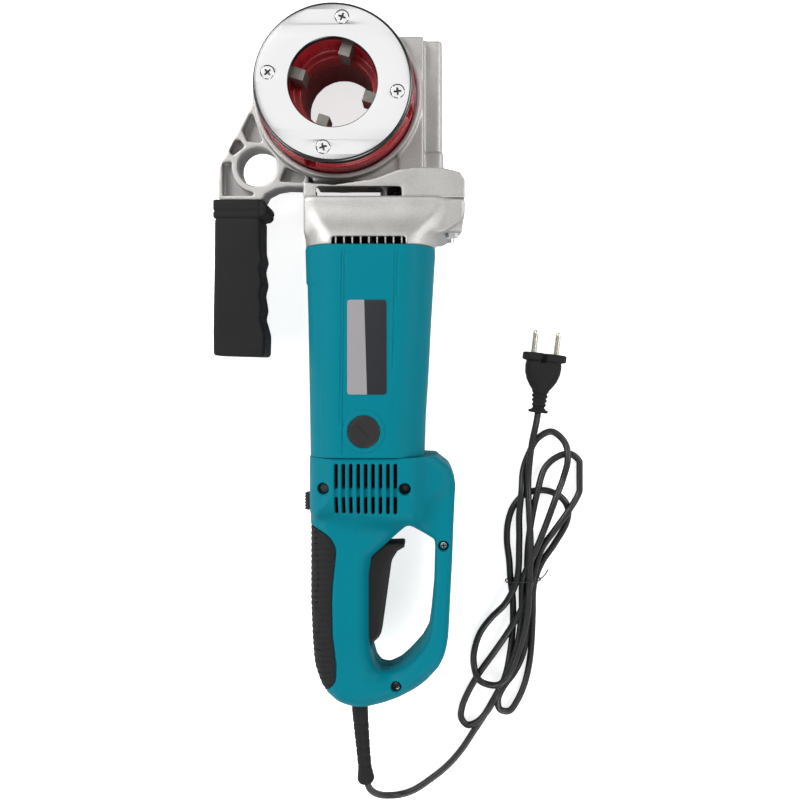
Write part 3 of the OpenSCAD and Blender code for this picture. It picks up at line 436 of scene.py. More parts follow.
grain, grain_in, grain_out = effect_group("cast_grain",
                                          [("Scale", 900.0), ("Patches", 30.0), ("Patch share", 0.35)])
place, scale, patches, patch_share = list(grain_in.outputs)[:4]
fine = noise(grain, place, scale, 3.0, 0.6)
broad = noise(grain, place, patches, 3.0, 0.55)
pits = grain.nodes.new("ShaderNodeTexVoronoi")
grain.links.new(place, pits.inputs["Vector"])
grain.links.new(scale, pits.inputs["Scale"])
bite = math_node(grain, "MULTIPLY", pits.outputs["Distance"], 0.6)
grain.links.new(math_node(grain, "ADD", fine, bite), grain_out.inputs["Height"])
share = math_node(grain, "MULTIPLY", broad, patch_share)
rest = math_node(grain, "MULTIPLY", fine, math_node(grain, "SUBTRACT", 1.0, patch_share))
grain.links.new(math_node(grain, "ADD", share, rest), grain_out.inputs["Shade"])

lines, lines_in, lines_out = effect_group("tool_lines", [("Scale", 1500.0), ("Stretch", 0.02)])
squeeze = lines.nodes.new("ShaderNodeCombineXYZ")
squeeze.inputs[1].default_value = squeeze.inputs[2].default_value = 1.0
lines.links.new(lines_in.outputs["Stretch"], squeeze.inputs[0])
times = lines.nodes.new("ShaderNodeVectorMath")
times.operation = "MULTIPLY"
lines.links.new(lines_in.outputs["Vector"], times.inputs[0])
lines.links.new(squeeze.outputs[0], times.inputs[1])
streak = noise(lines, times.outputs[0], lines_in.outputs["Scale"], 2.0, 0.6)
lines.links.new(streak, lines_out.inputs["Height"])
lines.links.new(streak, lines_out.inputs["Shade"])
print("effect groups:", [g.name for g in bpy.data.node_groups])

# %% [markdown]
# ## Finishes
# One material for each finish of the frame's record. Colour and gloss vary slightly between two values,
# driven by the shade of the effect group, and the bump takes its height. Numbers that are the same all
# over are set on the shader itself. The same finish goes on the frame's own parts and on new pieces.

# %% Materials
FINISH = {}


def finish(name, dark, light, rough, metallic=0.0, group=grain, depth=0.00004, strength=0.5,
           stretch=(1, 1, 1), **sockets):
    """Adds a material whose colour runs from dark to light and whose roughness runs between two values with
    the group's Shade. sockets are values for the group's inputs, or else for the shader's."""
    FINISH[name] = m = bpy.data.materials.new(name)
    m.use_nodes = True
    tree = m.node_tree
    shader = tree.nodes["Principled BSDF"]
    place = tree.nodes.new("ShaderNodeTexCoord")
    turn = tree.nodes.new("ShaderNodeMapping")
    turn.inputs["Scale"].default_value = stretch
    tree.links.new(place.outputs["Object"], turn.inputs["Vector"])
    effect = tree.nodes.new("ShaderNodeGroup")
    effect.node_tree = group
    tree.links.new(turn.outputs["Vector"], effect.inputs["Vector"])
    for label, value in sockets.items():
        label = label.replace("_", " ")
        target = effect.inputs if label in effect.inputs else shader.inputs
        target[label].default_value = value
    mix = tree.nodes.new("ShaderNodeMix")
    mix.data_type = "RGBA"
    mix.inputs[6].default_value = (*dark, 1)
    mix.inputs[7].default_value = (*light, 1)
    tree.links.new(effect.outputs["Shade"], mix.inputs[0])
    tree.links.new(mix.outputs[2], shader.inputs["Base Color"])
    span = tree.nodes.new("ShaderNodeMapRange")
    span.inputs["From Min"].default_value = 0.3
    span.inputs["From Max"].default_value = 0.7
    span.inputs["To Min"].default_value, span.inputs["To Max"].default_value = rough
    tree.links.new(effect.outputs["Shade"], span.inputs["Value"])
    tree.links.new(span.outputs["Result"], shader.inputs["Roughness"])
    shader.inputs["Metallic"].default_value = metallic
    bump = tree.nodes.new("ShaderNodeBump")
    bump.inputs["Strength"].default_value = strength
    bump.inputs["Distance"].default_value = depth
    tree.links.new(effect.outputs["Height"], bump.inputs["Height"])
    tree.links.new(bump.outputs["Normal"], shader.inputs["Normal"])


finish("cast_aluminium", (0.2, 0.194, 0.186), (0.72, 0.705, 0.685), (0.44, 0.62), 0.78, depth=0.00012,
       strength=0.6, Scale=1300.0, Patches=45.0, Patch_share=0.3)
finish("machined_steel", (0.5, 0.5, 0.51), (0.72, 0.72, 0.73), (0.18, 0.28), 1.0, depth=0.000006,
       strength=0.3)
# Near-black metal that paints shade and dark reflection: on the cover plate's edges and on the low faces of
# screw heads.
finish("painted_shade_and_dark_reflection", (0.05, 0.05, 0.05), (0.13, 0.13, 0.13), (0.2, 0.3), 1.0, depth=0.000004)
finish("gear_steel", (0.32, 0.32, 0.34), (0.5, 0.5, 0.52), (0.25, 0.42), 1.0, group=lines)
finish("dark_steel", (0.12, 0.12, 0.13), (0.24, 0.24, 0.25), (0.35, 0.5), 0.9)
finish("tool_steel", (0.1, 0.092, 0.082), (0.34, 0.32, 0.29), (0.34, 0.5), 0.85, depth=0.00006,
       Scale=1400.0, Patches=180.0, Patch_share=0.5)
finish("lamination_steel", (0.2, 0.2, 0.2), (0.34, 0.34, 0.35), (0.4, 0.55), 0.9, group=lines,
       Scale=900.0, Stretch=1.0, stretch=(0.02, 1, 0.02))
finish("bright_plate", (0.86, 0.86, 0.87), (0.95, 0.95, 0.95), (0.1, 0.16), 1.0, depth=0.000004,
       strength=0.25, Scale=300.0, Patches=12.0, Patch_share=0.8)
finish("bronze", (0.42, 0.27, 0.1), (0.66, 0.47, 0.22), (0.25, 0.4), 1.0, group=lines)
finish("brass", (0.6, 0.45, 0.18), (0.82, 0.66, 0.34), (0.2, 0.35), 1.0, group=lines)
finish("copper", (0.45, 0.17, 0.08), (0.72, 0.34, 0.17), (0.25, 0.4), 1.0, group=lines, Scale=2500.0,
       Stretch=0.05)
finish("red_paint", (0.2, 0.004, 0.008), (0.42, 0.012, 0.02), (0.22, 0.4), depth=0.00008, strength=0.5,
       Scale=700.0, Patches=60.0, Patch_share=0.5)
finish("teal_plastic", (0.0, 0.148, 0.195), (0.0, 0.172, 0.226), (0.42, 0.54), Specular_IOR_Level=0.07,
       depth=0.00003, strength=0.4, Scale=2600.0, Patches=25.0, Patch_share=0.3)
finish("black_plastic", (0.014, 0.013, 0.013), (0.03, 0.028, 0.029), (0.44, 0.56), Specular_IOR_Level=0.2,
       depth=0.00003, strength=0.4, Scale=2400.0, Patches=30.0)
finish("black_rubber", (0.007, 0.007, 0.007), (0.02, 0.019, 0.019), (0.55, 0.7), Specular_IOR_Level=0.14,
       depth=0.00005, strength=0.5, Scale=1800.0, Patches=35.0)
finish("cord_sheath", (0.006, 0.006, 0.006), (0.018, 0.018, 0.018), (0.34, 0.5), depth=0.00003,
       strength=0.4, Scale=1500.0, Patches=60.0)
finish("plate_print", (0.1, 0.1, 0.11), (0.14, 0.14, 0.15), (0.3, 0.4), depth=0.00001, strength=0.3)
finish("yellow_film", (0.5, 0.38, 0.08), (0.65, 0.5, 0.12), (0.35, 0.45))
finish("carbon", (0.02, 0.02, 0.02), (0.05, 0.05, 0.05), (0.45, 0.6))
finish("plug_metal", (0.62, 0.58, 0.48), (0.85, 0.81, 0.7), (0.16, 0.3), 1.0, group=lines)
finish("studio_floor", (0.8, 0.8, 0.8), (0.84, 0.84, 0.84), (0.6, 0.7), depth=0.00002, strength=0.1,
       Scale=200.0, Patches=3.0, Patch_share=0.8)

floor.data.materials.append(FINISH["studio_floor"])
floor_tree = FINISH["studio_floor"].node_tree
floor_shader = floor_tree.nodes["Principled BSDF"]
floor_shader.inputs["Emission Color"].default_value = (1, 1, 1, 1)
seen = floor_tree.nodes.new("ShaderNodeLightPath")
FLOOR_GLOW = 0.72
glow = math_node(floor_tree, "MULTIPLY", seen.outputs["Is Camera Ray"], FLOOR_GLOW)
floor_tree.links.new(glow, floor_shader.inputs["Emission Strength"])
node_slot = {part["node"]: part["material_slot"] for part in frame["record"]["subparts"]}
for node_name, node_object in frame["nodes"].items():
    for material_slot in node_object.material_slots:
        material_slot.material = FINISH[node_slot[node_name]]


def painted_shade_by_height(name, like, z_low, z_high, dark):
    """A copy of a finish with painted shade: its colour is multiplied by a tone that runs from dark, at height
    z_low, to one, at z_high."""
    m = FINISH[like].copy()
    m.name = name
    tree = m.node_tree
    place = tree.nodes.new("ShaderNodeTexCoord")
    parts = tree.nodes.new("ShaderNodeSeparateXYZ")
    tree.links.new(place.outputs["Object"], parts.inputs[0])
    span = tree.nodes.new("ShaderNodeMapRange")
    span.inputs["From Min"].default_value, span.inputs["From Max"].default_value = z_low, z_high
    span.inputs["To Min"].default_value, span.inputs["To Max"].default_value = dark, 1.0
    tree.links.new(parts.outputs[2], span.inputs["Value"])
    base = tree.nodes["Principled BSDF"].inputs["Base Color"]
    tone = tree.nodes.new("ShaderNodeMix")
    tone.data_type, tone.blend_type = "RGBA", "MULTIPLY"
    tone.inputs[0].default_value = 1.0
    tree.links.new(base.links[0].from_socket, tone.inputs[6])
    tree.links.new(span.outputs["Result"], tone.inputs[7])
    tree.links.new(tone.outputs[2], base)
    return m


print("finishes:", len(FINISH), "on", len(node_slot), "frame parts")

# %% Cord and its tie
cord = add_piece("mains_cord", sweep(cord_line, CORD_D / 2), "machine", "cord_sheath",
                 ["cord_tail", "cord_hank", "cord_lead"])
turn = np.linspace(0, 2 * np.pi, 72, endpoint=False)
TIE_R = 0.00055
across, upwards = (np.sign(f(turn)) * np.abs(f(turn)) ** 0.6 for f in (np.cos, np.sin))
tie_line = np.stack([152 + 14.6 * across, -396 + 0.9 * np.cos(turn), 9.8 + 9.2 * upwards], axis=1) * MM
tail_end = smooth_line([(165.5, -395.2, 12), (168, -394, 11), (171, -391.5, 9), (173.5, -388, 7.5)], 6) * MM
add_piece("wire_tie", sweep(tie_line, TIE_R, 8, up=(0, 1, 0), closed=True) + sweep(tail_end, TIE_R, 8),
          "machine", "black_plastic", ["cord_tie"])
print("cord faces:", len(cord.data.polygons))

# %% [markdown]
# ## Moulded shapes as distance fields
# A moulded or cast body has a soft radius on every edge and soft hollows where two masses meet. Bevels on
# a complicated outline tear, so these bodies are made as a field instead: a number at each point of a fine
# grid, negative inside the body. Rounding, blending and cutting are then plain arithmetic on whole arrays,
# and one pass turns the place where the number is zero into a surface.

# %% Field tools
class Grid:
    """Points of a box, in millimetres, on a regular grid of the given step. x, y and z broadcast together."""
    def __init__(self, low, high, step):
        self.low, self.step = np.array(low, float), step
        axes = [np.arange(l, h + step, step) for l, h in zip(low, high)]
        self.x, self.y, self.z = axes[0][:, None, None], axes[1][None, :, None], axes[2][None, None, :]
        self.flat_x, self.flat_y = np.meshgrid(axes[0], axes[1], indexing="ij")


def outline_distance(loop, x, y):
    """Signed distance from each (x, y) to a closed loop: the least distance to its straight pieces, negative
    inside. A point is inside if a ray to the right crosses the loop an odd number of times."""
    best = np.full(x.shape, 1e9)
    inside = np.zeros(x.shape, bool)
    for (ax, ay), (bx, by) in zip(loop, np.roll(loop, -1, axis=0)):
        ex, ey = bx - ax, by - ay
        t = np.clip(((x - ax) * ex + (y - ay) * ey) / (ex * ex + ey * ey + 1e-12), 0, 1)
        best = np.minimum(best, (x - ax - t * ex) ** 2 + (y - ay - t * ey) ** 2)
        if ay != by:
            inside ^= ((ay > y) != (by > y)) & (x < ax + (y - ay) * ex / ey)
    return np.where(inside, -1, 1) * np.sqrt(best)


def box2(x, y, x0, x1, y0, y1, r):
    """Signed distance to a rectangle with corners of radius r."""
    return round_extrude(np.abs(x - (x0 + x1) / 2) - (x1 - x0) / 2,
                         np.abs(y - (y0 + y1) / 2) - (y1 - y0) / 2, r)


def round_extrude(d, h, r):
    """A plan distance d and a height distance h joined with an edge of radius r: both are moved in by r, their
    joint distance is the hypotenuse where both are outside, and r is taken off again."""
    a, b = d + r, h + r
    return np.hypot(np.maximum(a, 0), np.maximum(b, 0)) + np.minimum(np.maximum(a, b), 0) - r


def blend(a, b, k):
    """The union of two fields with a hollow fillet about k wide: the smaller one, less a bump where they are
    near."""
    h = np.maximum(k - np.abs(a - b), 0) / k
    return np.minimum(a, b) - h * h * k / 4


def carve(a, b, k=0.0):
    """Field a with field b cut out of it, with the new edge rounded over about k."""
    return -blend(-a, b, k) if k else np.maximum(a, -b)


def skin(field, grid):
    """The zero surface of a field as (points, faces). Each cell that the surface crosses gets one point, the
    mean of the crossings on its twelve edges, and each grid edge that it crosses gets one square of four such
    points, turned so that it faces out."""
    shape = np.array(field.shape) - 1
    total, count = np.zeros((*shape, 3)), np.zeros(shape, int)
    for axis in range(3):
        p, q = [a for a in range(3) if a != axis]
        for i in (0, 1):
            for j in (0, 1):
                near = [slice(0, -1)] * 3
                near[p], near[q] = slice(i, shape[p] + i), slice(j, shape[q] + j)
                far = list(near)
                far[axis] = slice(1, None)
                a, b = field[tuple(near)], field[tuple(far)]
                cross = (a < 0) != (b < 0)
                count += cross
                total[..., axis] += np.where(cross, a / np.where(cross, a - b, 1), 0)
                total[..., p] += cross * i
                total[..., q] += cross * j
    active = count > 0
    number = np.full(shape, -1)
    number[active] = np.arange(active.sum())
    points = (grid.low + grid.step * (np.argwhere(active) + total[active] / count[active][:, None])) * MM
    faces = []
    for axis in range(3):
        p, q = (axis + 1) % 3, (axis + 2) % 3
        inner = [slice(None)] * 3
        inner[p], inner[q] = slice(1, -1), slice(1, -1)
        cut = field[tuple(inner)] < 0
        near, far = [slice(None)] * 3, [slice(None)] * 3
        near[axis], far[axis] = slice(0, -1), slice(1, None)
        cross = cut[tuple(near)] != cut[tuple(far)]
        at = np.argwhere(cross)
        out = cut[tuple(near)][cross]
        corner = []
        for dp, dq in ((0, 0), (1, 0), (1, 1), (0, 1)):
            c = at.copy()
            c[:, p] += dp
            c[:, q] += dq
            corner.append(number[c[:, 0], c[:, 1], c[:, 2]])
        quads = np.stack(corner, axis=1)
        quads[~out] = quads[~out][:, ::-1]
        faces.append(quads)
    return points, np.concatenate(faces).tolist()


def settled(name, mesh, body, slot, replaces, passes, cube=None):
    """One object from a raw mesh. The mesh is first rebuilt from cubes of side cube, in millimetres, if one is
    given. Then each point moves halfway to the mean of its neighbours, passes times over."""
    raw = bpy.data.objects.new(name + "_raw", mesh)
    scene.collection.objects.link(raw)
    if cube:
        cubes = raw.modifiers.new("cubes", "REMESH")
        cubes.mode, cubes.voxel_size = "VOXEL", cube * MM
    relax = raw.modifiers.new("relax", "SMOOTH")
    relax.factor, relax.iterations = 0.5, passes
    made = bpy.data.meshes.new_from_object(raw.evaluated_get(bpy.context.evaluated_depsgraph_get()))
    bpy.data.objects.remove(raw)
    made.name = name
    made.materials.clear()
    print(name, len(made.polygons), "faces")
    return placed(name, made, body, slot, replaces)


def moulded_piece(name, field, grid, body, slot, replaces, passes=2):
    """One object from a field: its zero surface, relaxed a little."""
    points, faces = skin(field, grid)
    mesh = bpy.data.meshes.new(name)
    mesh.from_pydata(points.tolist(), [], faces)
    mesh.validate()
    return settled(name, mesh, body, slot, replaces, passes)


def mm_box(node):
    """The low and high corner of a frame part's box, in millimetres."""
    return [np.array(corner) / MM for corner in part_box(node)]


def part_grid(node, margin, step):
    """A grid round a frame part's box, the box's corners, and how far each level is from the part's middle."""
    low, high = mm_box(node)
    grid = Grid(low - margin, high + margin, step)
    return grid, low, high, np.abs(grid.z - (low[2] + high[2]) / 2)

# %% [markdown]
# ## The handle shells
# The handle is moulded in two halves that meet half way up. Each is a D-shaped frame with a raised box at
# the motor end, and the two masses run into each other in a soft slope. The outlines are set out from the
# motor's end, as the frame's are. The palm pad's place, the cooling slots, the screw wells, the trigger's
# mouth and the parting line are cut out of the same field.

# %% Handle field
motor_low, motor_high = mm_box("motor_housing")
shell_low, shell_high = mm_box("handle_front_shell")
MOTOR_END, SPLIT = motor_low[1], mm_box("handle_rear_shell")[1][2]
HANDLE_STEP, HANDLE_Z0 = 0.9, 2
handle_grid = Grid([shell_low[0] - 2, shell_low[1] - 2, HANDLE_Z0], [shell_high[0] + 2, MOTOR_END + 2, 88],
                   HANDLE_STEP)
hx, hy, hz = handle_grid.x, handle_grid.y, handle_grid.z
lift = np.abs(hz - SPLIT)
flat_x, flat_y = handle_grid.flat_x, handle_grid.flat_y


def plan_field(points, step=None, times=0):
    """Distance in plan to an outline set out from the motor's end, as a field of one level. The outline is
    first spaced evenly by step and softened, if a step is given."""
    loop = np.array(points, float) + [0, MOTOR_END]
    if step:
        loop = softened(evenly(loop, step), times)
    return outline_distance(loop, flat_x, flat_y)[:, :, None]


outer = plan_field([(-20.6, 12), (73, 12), (74.5, -0.5), (89, -8.6), (93.9, -20), (92.3, -54),
                    (91.5, -78), (89.9, -110), (88.3, -142), (86.2, -153.5), (80.8, -167),
                    (72.5, -177.5), (63.5, -184.6), (48.6, -192.6), (36.5, -196.8), (23, -200),
                    (17.3, -200.4), (9.3, -198.8), (1.2, -195.8), (-6.8, -190.4), (-12.6, -183),
                    (-18.2, -166), (-19.8, -144), (-21, -114), (-20.9, -59)], 1.5, 8)
finger_hole = plan_field([(56, -53.5), (58.5, -53.2), (77.5, -65.5), (78, -72), (77, -106),
                          (74.7, -130), (73, -142), (67.6, -152), (58, -162), (50, -168), (41, -171.5),
                          (34.4, -170.5), (30, -166), (27.5, -157), (25.5, -144), (25.5, -94),
                          (27.5, -80), (42, -67)], 1.2, 2)
plan = np.maximum(outer, -finger_hole)
palm_r = np.interp(hx, [-5, 12, 50, 66], [18, 10, 9, 5.5])
foot_r = np.interp(hy - MOTOR_END, [-174, -150], [14.5, 0])
half_t = np.interp(hy - MOTOR_END, [-200, -150], [24.0, 26.8])
ring_part = round_extrude(plan, lift - half_t, np.maximum(palm_r, foot_r))
box_r = np.interp(hx, [0, 45], [25, 10])
BOX_HALF_T, CORNER_HALF_T = 41.6, 29.0
raised_box = round_extrude(box2(hx, hy, -20.5, 66.4, MOTOR_END - 50.5, MOTOR_END + 30, 9.0),
                           lift - BOX_HALF_T, box_r)
corner_mass = round_extrude(plan_field([(60, 10), (70, 4), (84, -10), (86, -24), (60, -40)]),
                            lift - CORNER_HALF_T, 4.0)
whole = blend(ring_part, raised_box, np.interp(hx, [-8, 18], [3.0, 18.0]))
whole = blend(whole, corner_mass, 10.0)
whole = np.maximum(np.maximum(whole, -finger_hole), hy - (MOTOR_END - 0.2))
print("handle field:", whole.shape)

# %% Handle shells, pad place, slots and wells
PAD_T = 1.8
pad_loop = evenly(np.array([(-40, -56.5), (-22, -56.5), (-13, -60.5), (-6.6, -65), (-2.6, -72),
                            (-2.2, -77), (-3.4, -88), (-5, -104), (-5.4, -116), (-5, -141),
                            (-3.4, -153), (-2.2, -165), (-2.6, -177), (-5.8, -182), (-9.8, -186),
                            (-14, -192), (-40, -192)], float), 1.5)
pad_plan = outline_distance(softened(pad_loop, 3) + [3.2, MOTOR_END + 1.6], flat_x, flat_y)[:, :, None]
shell = carve(whole, np.maximum(pad_plan - 0.25, -(whole + PAD_T + 0.15)))
SLOT_X0, SLOT_PITCH, SLOT_W = 1.2, 5.65, 2.7
slot_starts = [SLOT_X0 + SLOT_PITCH * k for k in range(9)]
slots = np.min([box2(flat_x, flat_y, x0, x0 + SLOT_W, MOTOR_END + y0, MOTOR_END + y1, 1.2)
                for x0 in slot_starts for y0, y1 in ((-23.5, -4.5), (-43, -30))], axis=0)
shell = carve(shell, np.maximum(slots[:, :, None], 18 - lift))
bars = box2(flat_x, flat_y, -0.5, 49.5, MOTOR_END - 32, MOTOR_END - 21, 1.0)
bar_gaps = np.min([np.abs(flat_x - x0 - SLOT_W / 2) - SLOT_W / 2 for x0 in slot_starts], axis=0)
shell = carve(shell, np.maximum(np.maximum(bars, bar_gaps)[:, :, None], 39.6 - lift))
WELLS = [(84.5, -70, 4.2, 20.0), (47.5, -180.5, 4.2, 18.5), (-7.6, -24, 4.6, 29.0), (54.9, -24, 4.6, 29.0)]
for wx, wy, wr, floor_lift in WELLS:
    well = np.hypot(hx - wx, hy - MOTOR_END - wy) - wr
    shell = carve(shell, np.maximum(well, floor_lift - lift), 0.9)
mouth = plan_field([(10, -154), (34, -154), (34, -139), (60, -84), (60, -66), (12, -66)])
shell = carve(shell, np.maximum(mouth, lift - 11.5))
side_slot = np.maximum(np.maximum(hx + 16.0, np.abs(hy - MOTOR_END + 42.5) - 12.5), lift - 5)
shell = carve(shell, side_slot)
cord_way = np.maximum(np.hypot(hx - 21.3, hz - SPLIT) - 5.4, hy - MOTOR_END + 183)
shell = carve(shell, cord_way)
SEAM_GAP = 0.15
front = np.maximum(shell, SPLIT + SEAM_GAP - hz)
rear = np.maximum(shell, hz - SPLIT + SEAM_GAP)
half_way = int(round((SPLIT - HANDLE_Z0) / HANDLE_STEP))
front_grid = Grid([handle_grid.low[0], handle_grid.low[1], HANDLE_Z0 + HANDLE_STEP * (half_way - 2)],
                  handle_grid.low, HANDLE_STEP)
moulded_piece("front_handle_shell", front[:, :, half_way - 2:], front_grid, "machine", "teal_plastic",
              ["handle_front_shell"], 1)
moulded_piece("rear_handle_shell", rear[:, :, :half_way + 3], handle_grid, "machine", "teal_plastic",
              ["handle_rear_shell"], 1)

# %% [markdown]
# ## The palm pad
# A thin soft skin lies in a shallow place round the palm side of the handle. Fine ribs run across it. It is
# the same field again, kept only within the skin's depth and outline, with a wave of ribs on its face.

# %% Palm pad
rib = 0.5 + 0.5 * np.cos(2 * np.pi * (hy - MOTOR_END) / 4.6)
pad_field = np.maximum(whole + 0.2 + 0.55 * rib ** 2, np.maximum(pad_plan + 0.3, -(whole + PAD_T)))
pad_columns = int(30 / HANDLE_STEP)
moulded_piece("ribbed_palm_pad", pad_field[:pad_columns], handle_grid, "machine", "black_rubber",
              ["palm_pad"], 1)
del shell, front, rear, pad_field, whole, ring_part, raised_box, corner_mass

# %% [markdown]
# ## The motor housing
# The motor's barrel is one long moulding with a square section, large round corners and a slight taper
# towards the handle. It is a loft: a section of two numbers, the place round it and the place along it.
# Two pairs of thin grooves run along its front, and the left corner carries a panel that is one step
# lower. Both are small drops along the normal of the section. The brush cap sits in a round boss.

# %% Motor housing
SEAM = motor_high[1] - 3.6
MOTOR_X, MID_Z = 25.5, 45.0
HALF_Z = (motor_high[2] - motor_low[2]) / 2 - 0.7
HOUSING_R = 27.0


def section_plan(y):
    """Left and right side of the housing at y, by straight lines between measured stations."""
    stations = MOTOR_END + np.array([0, 30, 60, 110, 160, 166])
    return (np.interp(y, stations, [-20.6, -21.0, -21.5, -22.4, -23.8, -23.8]),
            np.interp(y, stations, [69.2, 70.2, 72.2, 74.8, 77.8, 78.4]))


rows = 190
ys = np.linspace(SEAM, MOTOR_END, rows)
left, right = section_plan(ys)
cx, half_x = (left + right) / 2, (right - left) / 2
groove_u = [-1, -0.74, -0.40, -0.386, -0.372, -0.358, -0.344, 0.36, 0.374, 0.388, 0.402, 0.416, 0.74, 1]
groove_counts = [16, 12, 3, 3, 3, 3, 24, 3, 3, 3, 3, 12, 16]
top = np.concatenate([np.linspace(a, b, n, endpoint=False)
                      for a, b, n in zip(groove_u[:-1], groove_u[1:], groove_counts)])
arc = np.linspace(0, np.pi / 2, 26)


def housing_section(half_w, centre):
    """Rounded rectangle of half width half_w and half height HALF_Z: straight sides and four arcs of HOUSING_R,
    as rows for every station, with the front side's points on fixed shares of the flat."""
    half_w, centre = half_w[:, None], centre[:, None]
    flat_w, flat_h = half_w - HOUSING_R, HALF_Z - HOUSING_R

    def points(x, z):
        return np.stack(np.broadcast_arrays(x, z), -1)

    def corner(sx, sz, angles):
        return points(centre + sx * flat_w + HOUSING_R * np.cos(angles),
                      MID_Z + sz * flat_h + HOUSING_R * np.sin(angles))

    side, back = np.linspace(1, -1, 14)[1:-1], np.linspace(1, -1, 30)[1:-1]
    return np.concatenate([points(centre - top * flat_w, MID_Z + HALF_Z), corner(-1, 1, np.pi / 2 + arc),
                           points(centre - half_w, MID_Z + flat_h * side), corner(-1, -1, np.pi + arc),
                           points(centre - back * flat_w, MID_Z - HALF_Z), corner(1, -1, 1.5 * np.pi + arc),
                           points(centre + half_w, MID_Z - flat_h * side), corner(1, 1, arc)[:, :-1]], axis=1)


def steps_down(x, y):
    """Depth of the grooves and of the lower left panel at front points (x, y): a sum of smooth edges."""
    drop = np.zeros(x.shape)
    along = (SEAM - 3 - y) / (SEAM - MOTOR_END)
    inside_y = np.clip((SEAM - 4 - y) / 1.5, 0, 1) * np.clip((y - MOTOR_END - 2) / 1.5, 0, 1)
    for start, end in ((7.3, 5.4), (47.3, 44.6)):
        for offset in (0.0, 2.1):
            distance = np.abs(x - (start + (end - start) * along) - offset)
            drop += 0.55 * np.clip(1.15 - distance / 0.45, 0, 1) * inside_y
    panel_x, panel_y, panel_r = -8.6, MOTOR_END + 134, 9
    edge = np.maximum(x - panel_x + 0.6 * along, y - panel_y)
    corner_cut = np.hypot(np.maximum(x - panel_x + panel_r, 0), np.maximum(y - panel_y + panel_r, 0)) - panel_r
    edge = np.where((x > panel_x - panel_r) & (y > panel_y - panel_r), corner_cut, edge)
    return drop + 0.8 * np.clip(0.5 - edge / 0.8, 0, 1)


ring = housing_section(half_x, cx)
normal = np.roll(ring, -1, axis=1) - np.roll(ring, 1, axis=1)
normal = np.stack([normal[..., 1], -normal[..., 0]], -1)
normal /= np.linalg.norm(normal, axis=-1)[..., None] + 1e-9
facing = np.clip((ring[..., 1] - 52) / 8, 0, 1)
yy = np.repeat(ys[:, None], ring.shape[1], axis=1)
drop = steps_down(ring[..., 0], yy) * facing
rim = np.clip(1 - (SEAM - yy) / 1.2, 0, 1) ** 2 + 0.6 * np.clip(1 - (yy - MOTOR_END) / 0.9, 0, 1) ** 2
ring = ring + normal * (drop + rim)[..., None] * (1 if normal[0, 0, 1] < 0 else -1)
shape = np.stack([ring[..., 0], yy, ring[..., 1]], -1) * MM
count = ring.shape[1]
print("housing section points:", count, "normal sign:", round(float(normal[0, 5, 1]), 2))
inner = shape[[0, -1]].copy()
inner_mid = inner.mean(axis=1, keepdims=True)
inner = inner_mid + (inner - inner_mid) * np.array([0.93, 1, 0.92])
deep = inner.copy()
deep[0, :, 1] -= 0.012
deep[1, :, 1] += 0.003
wall_points = np.concatenate([deep[:1], inner[:1], shape, inner[1:], deep[1:]]).reshape(-1, 3)
housing_faces = grid_faces(rows + 4, count)
bulkheads = [end_fan(deep[0]), end_fan(deep[1], outward_first=False)]
housing = add_piece("motor_barrel", [(wall_points, housing_faces)] + bulkheads, "machine", "teal_plastic",
                    ["motor_housing"], sharp=38)
print("motor barrel:", len(housing.data.polygons), "faces")

# %% [markdown]
# ## Brush caps, their bosses and the name plate
# A round screw cap with a coin slot closes each brush holder. It sits in a raised boss whose edge bulges
# past the seam. Each is a profile turned round an upright axis. The name plate is a thin leaf with soft
# corners, grey on its left half and nearly black on its right, and it is left bare.

# %% Round heads
def disc(x, y, z, side, radii, height, n, skirt):
    """A round head in millimetres: n points on each of the given radii, whose height over z is
    height(px, py, r), with a skirt down round the edge. side is 1 for a head that faces up, -1 for down."""
    a = np.linspace(0, 2 * np.pi, n, endpoint=False)[None, :]
    r = np.asarray(radii, float)[:, None]
    px, py = r * np.cos(a), r * np.sin(a)
    rings = np.stack([x + px, y + py, z + side * height(px, py, r + 0 * a)], -1)
    low = rings[-1:].copy()
    low[..., 2] = z - side * skirt
    points = np.concatenate([rings, low]) * MM
    return [(points.reshape(-1, 3), grid_faces(len(points), n)), end_fan(points[0]), end_fan(points[-1])]


def screw(x, y, z, side, radius, dome, turn, skirt=2.0):
    """The parts of one screw head: a dome, less a cross recess whose arms reach 0.58 of the radius."""
    def height(px, py, r):
        u = px * math.cos(turn) + py * math.sin(turn)
        v = py * math.cos(turn) - px * math.sin(turn)
        thin, far = np.minimum(np.abs(u), np.abs(v)), np.maximum(np.abs(u), np.abs(v))
        arms = np.clip((0.16 * radius - 0.06 * far - thin) / 0.2, 0, 1)
        cut = arms * np.clip((0.58 * radius - far) / 0.3, 0, 1)
        edge = np.clip((r - radius + 0.35) / 0.35, 0, 1) ** 2 * 0.3
        return dome * (1 - (r / radius) ** 2) - edge - 1.3 * cut * (1 - 0.5 * far / radius)

    radii = np.concatenate([np.linspace(0.05, 0.7 * radius, 20), np.linspace(0.74, 1.0, 8) * radius])
    return disc(x, y, z, side, radii, height, 96, skirt)


def well_screws(wells, rise, radius, turn):
    """The parts of one screw in each well, its head rise above the well's floor."""
    return [part for x, y, _, floor_lift in wells
            for part in screw(x, MOTOR_END + y, SPLIT + floor_lift + rise, 1, radius, 0.9, turn + x)]


def shade_below(piece, level):
    """Paints shade on a piece's faces whose mean height is under level, in millimetres, by giving them the
    near-black painted-shade material.
    """
    piece.data.materials.append(FINISH["painted_shade_and_dark_reflection"])
    heights = np.array([f.center.z for f in piece.data.polygons])
    piece.data.polygons.foreach_set("material_index", (heights < level * MM).astype(np.int32))


heads = add_piece("handle_screw_heads", well_screws(WELLS[:2], 2.0, 3.5, 0.5), "machine", "bright_plate",
                  ["handle_screws"])
# The low faces of each head, its rim and its cross recess, get painted shade.
shade_below(heads, SPLIT + 20.0 + 2.35)
add_piece("box_screw_heads", well_screws(WELLS[2:], 2.2, 3.9, 0.2), "machine", "dark_steel")
print("screw heads made")

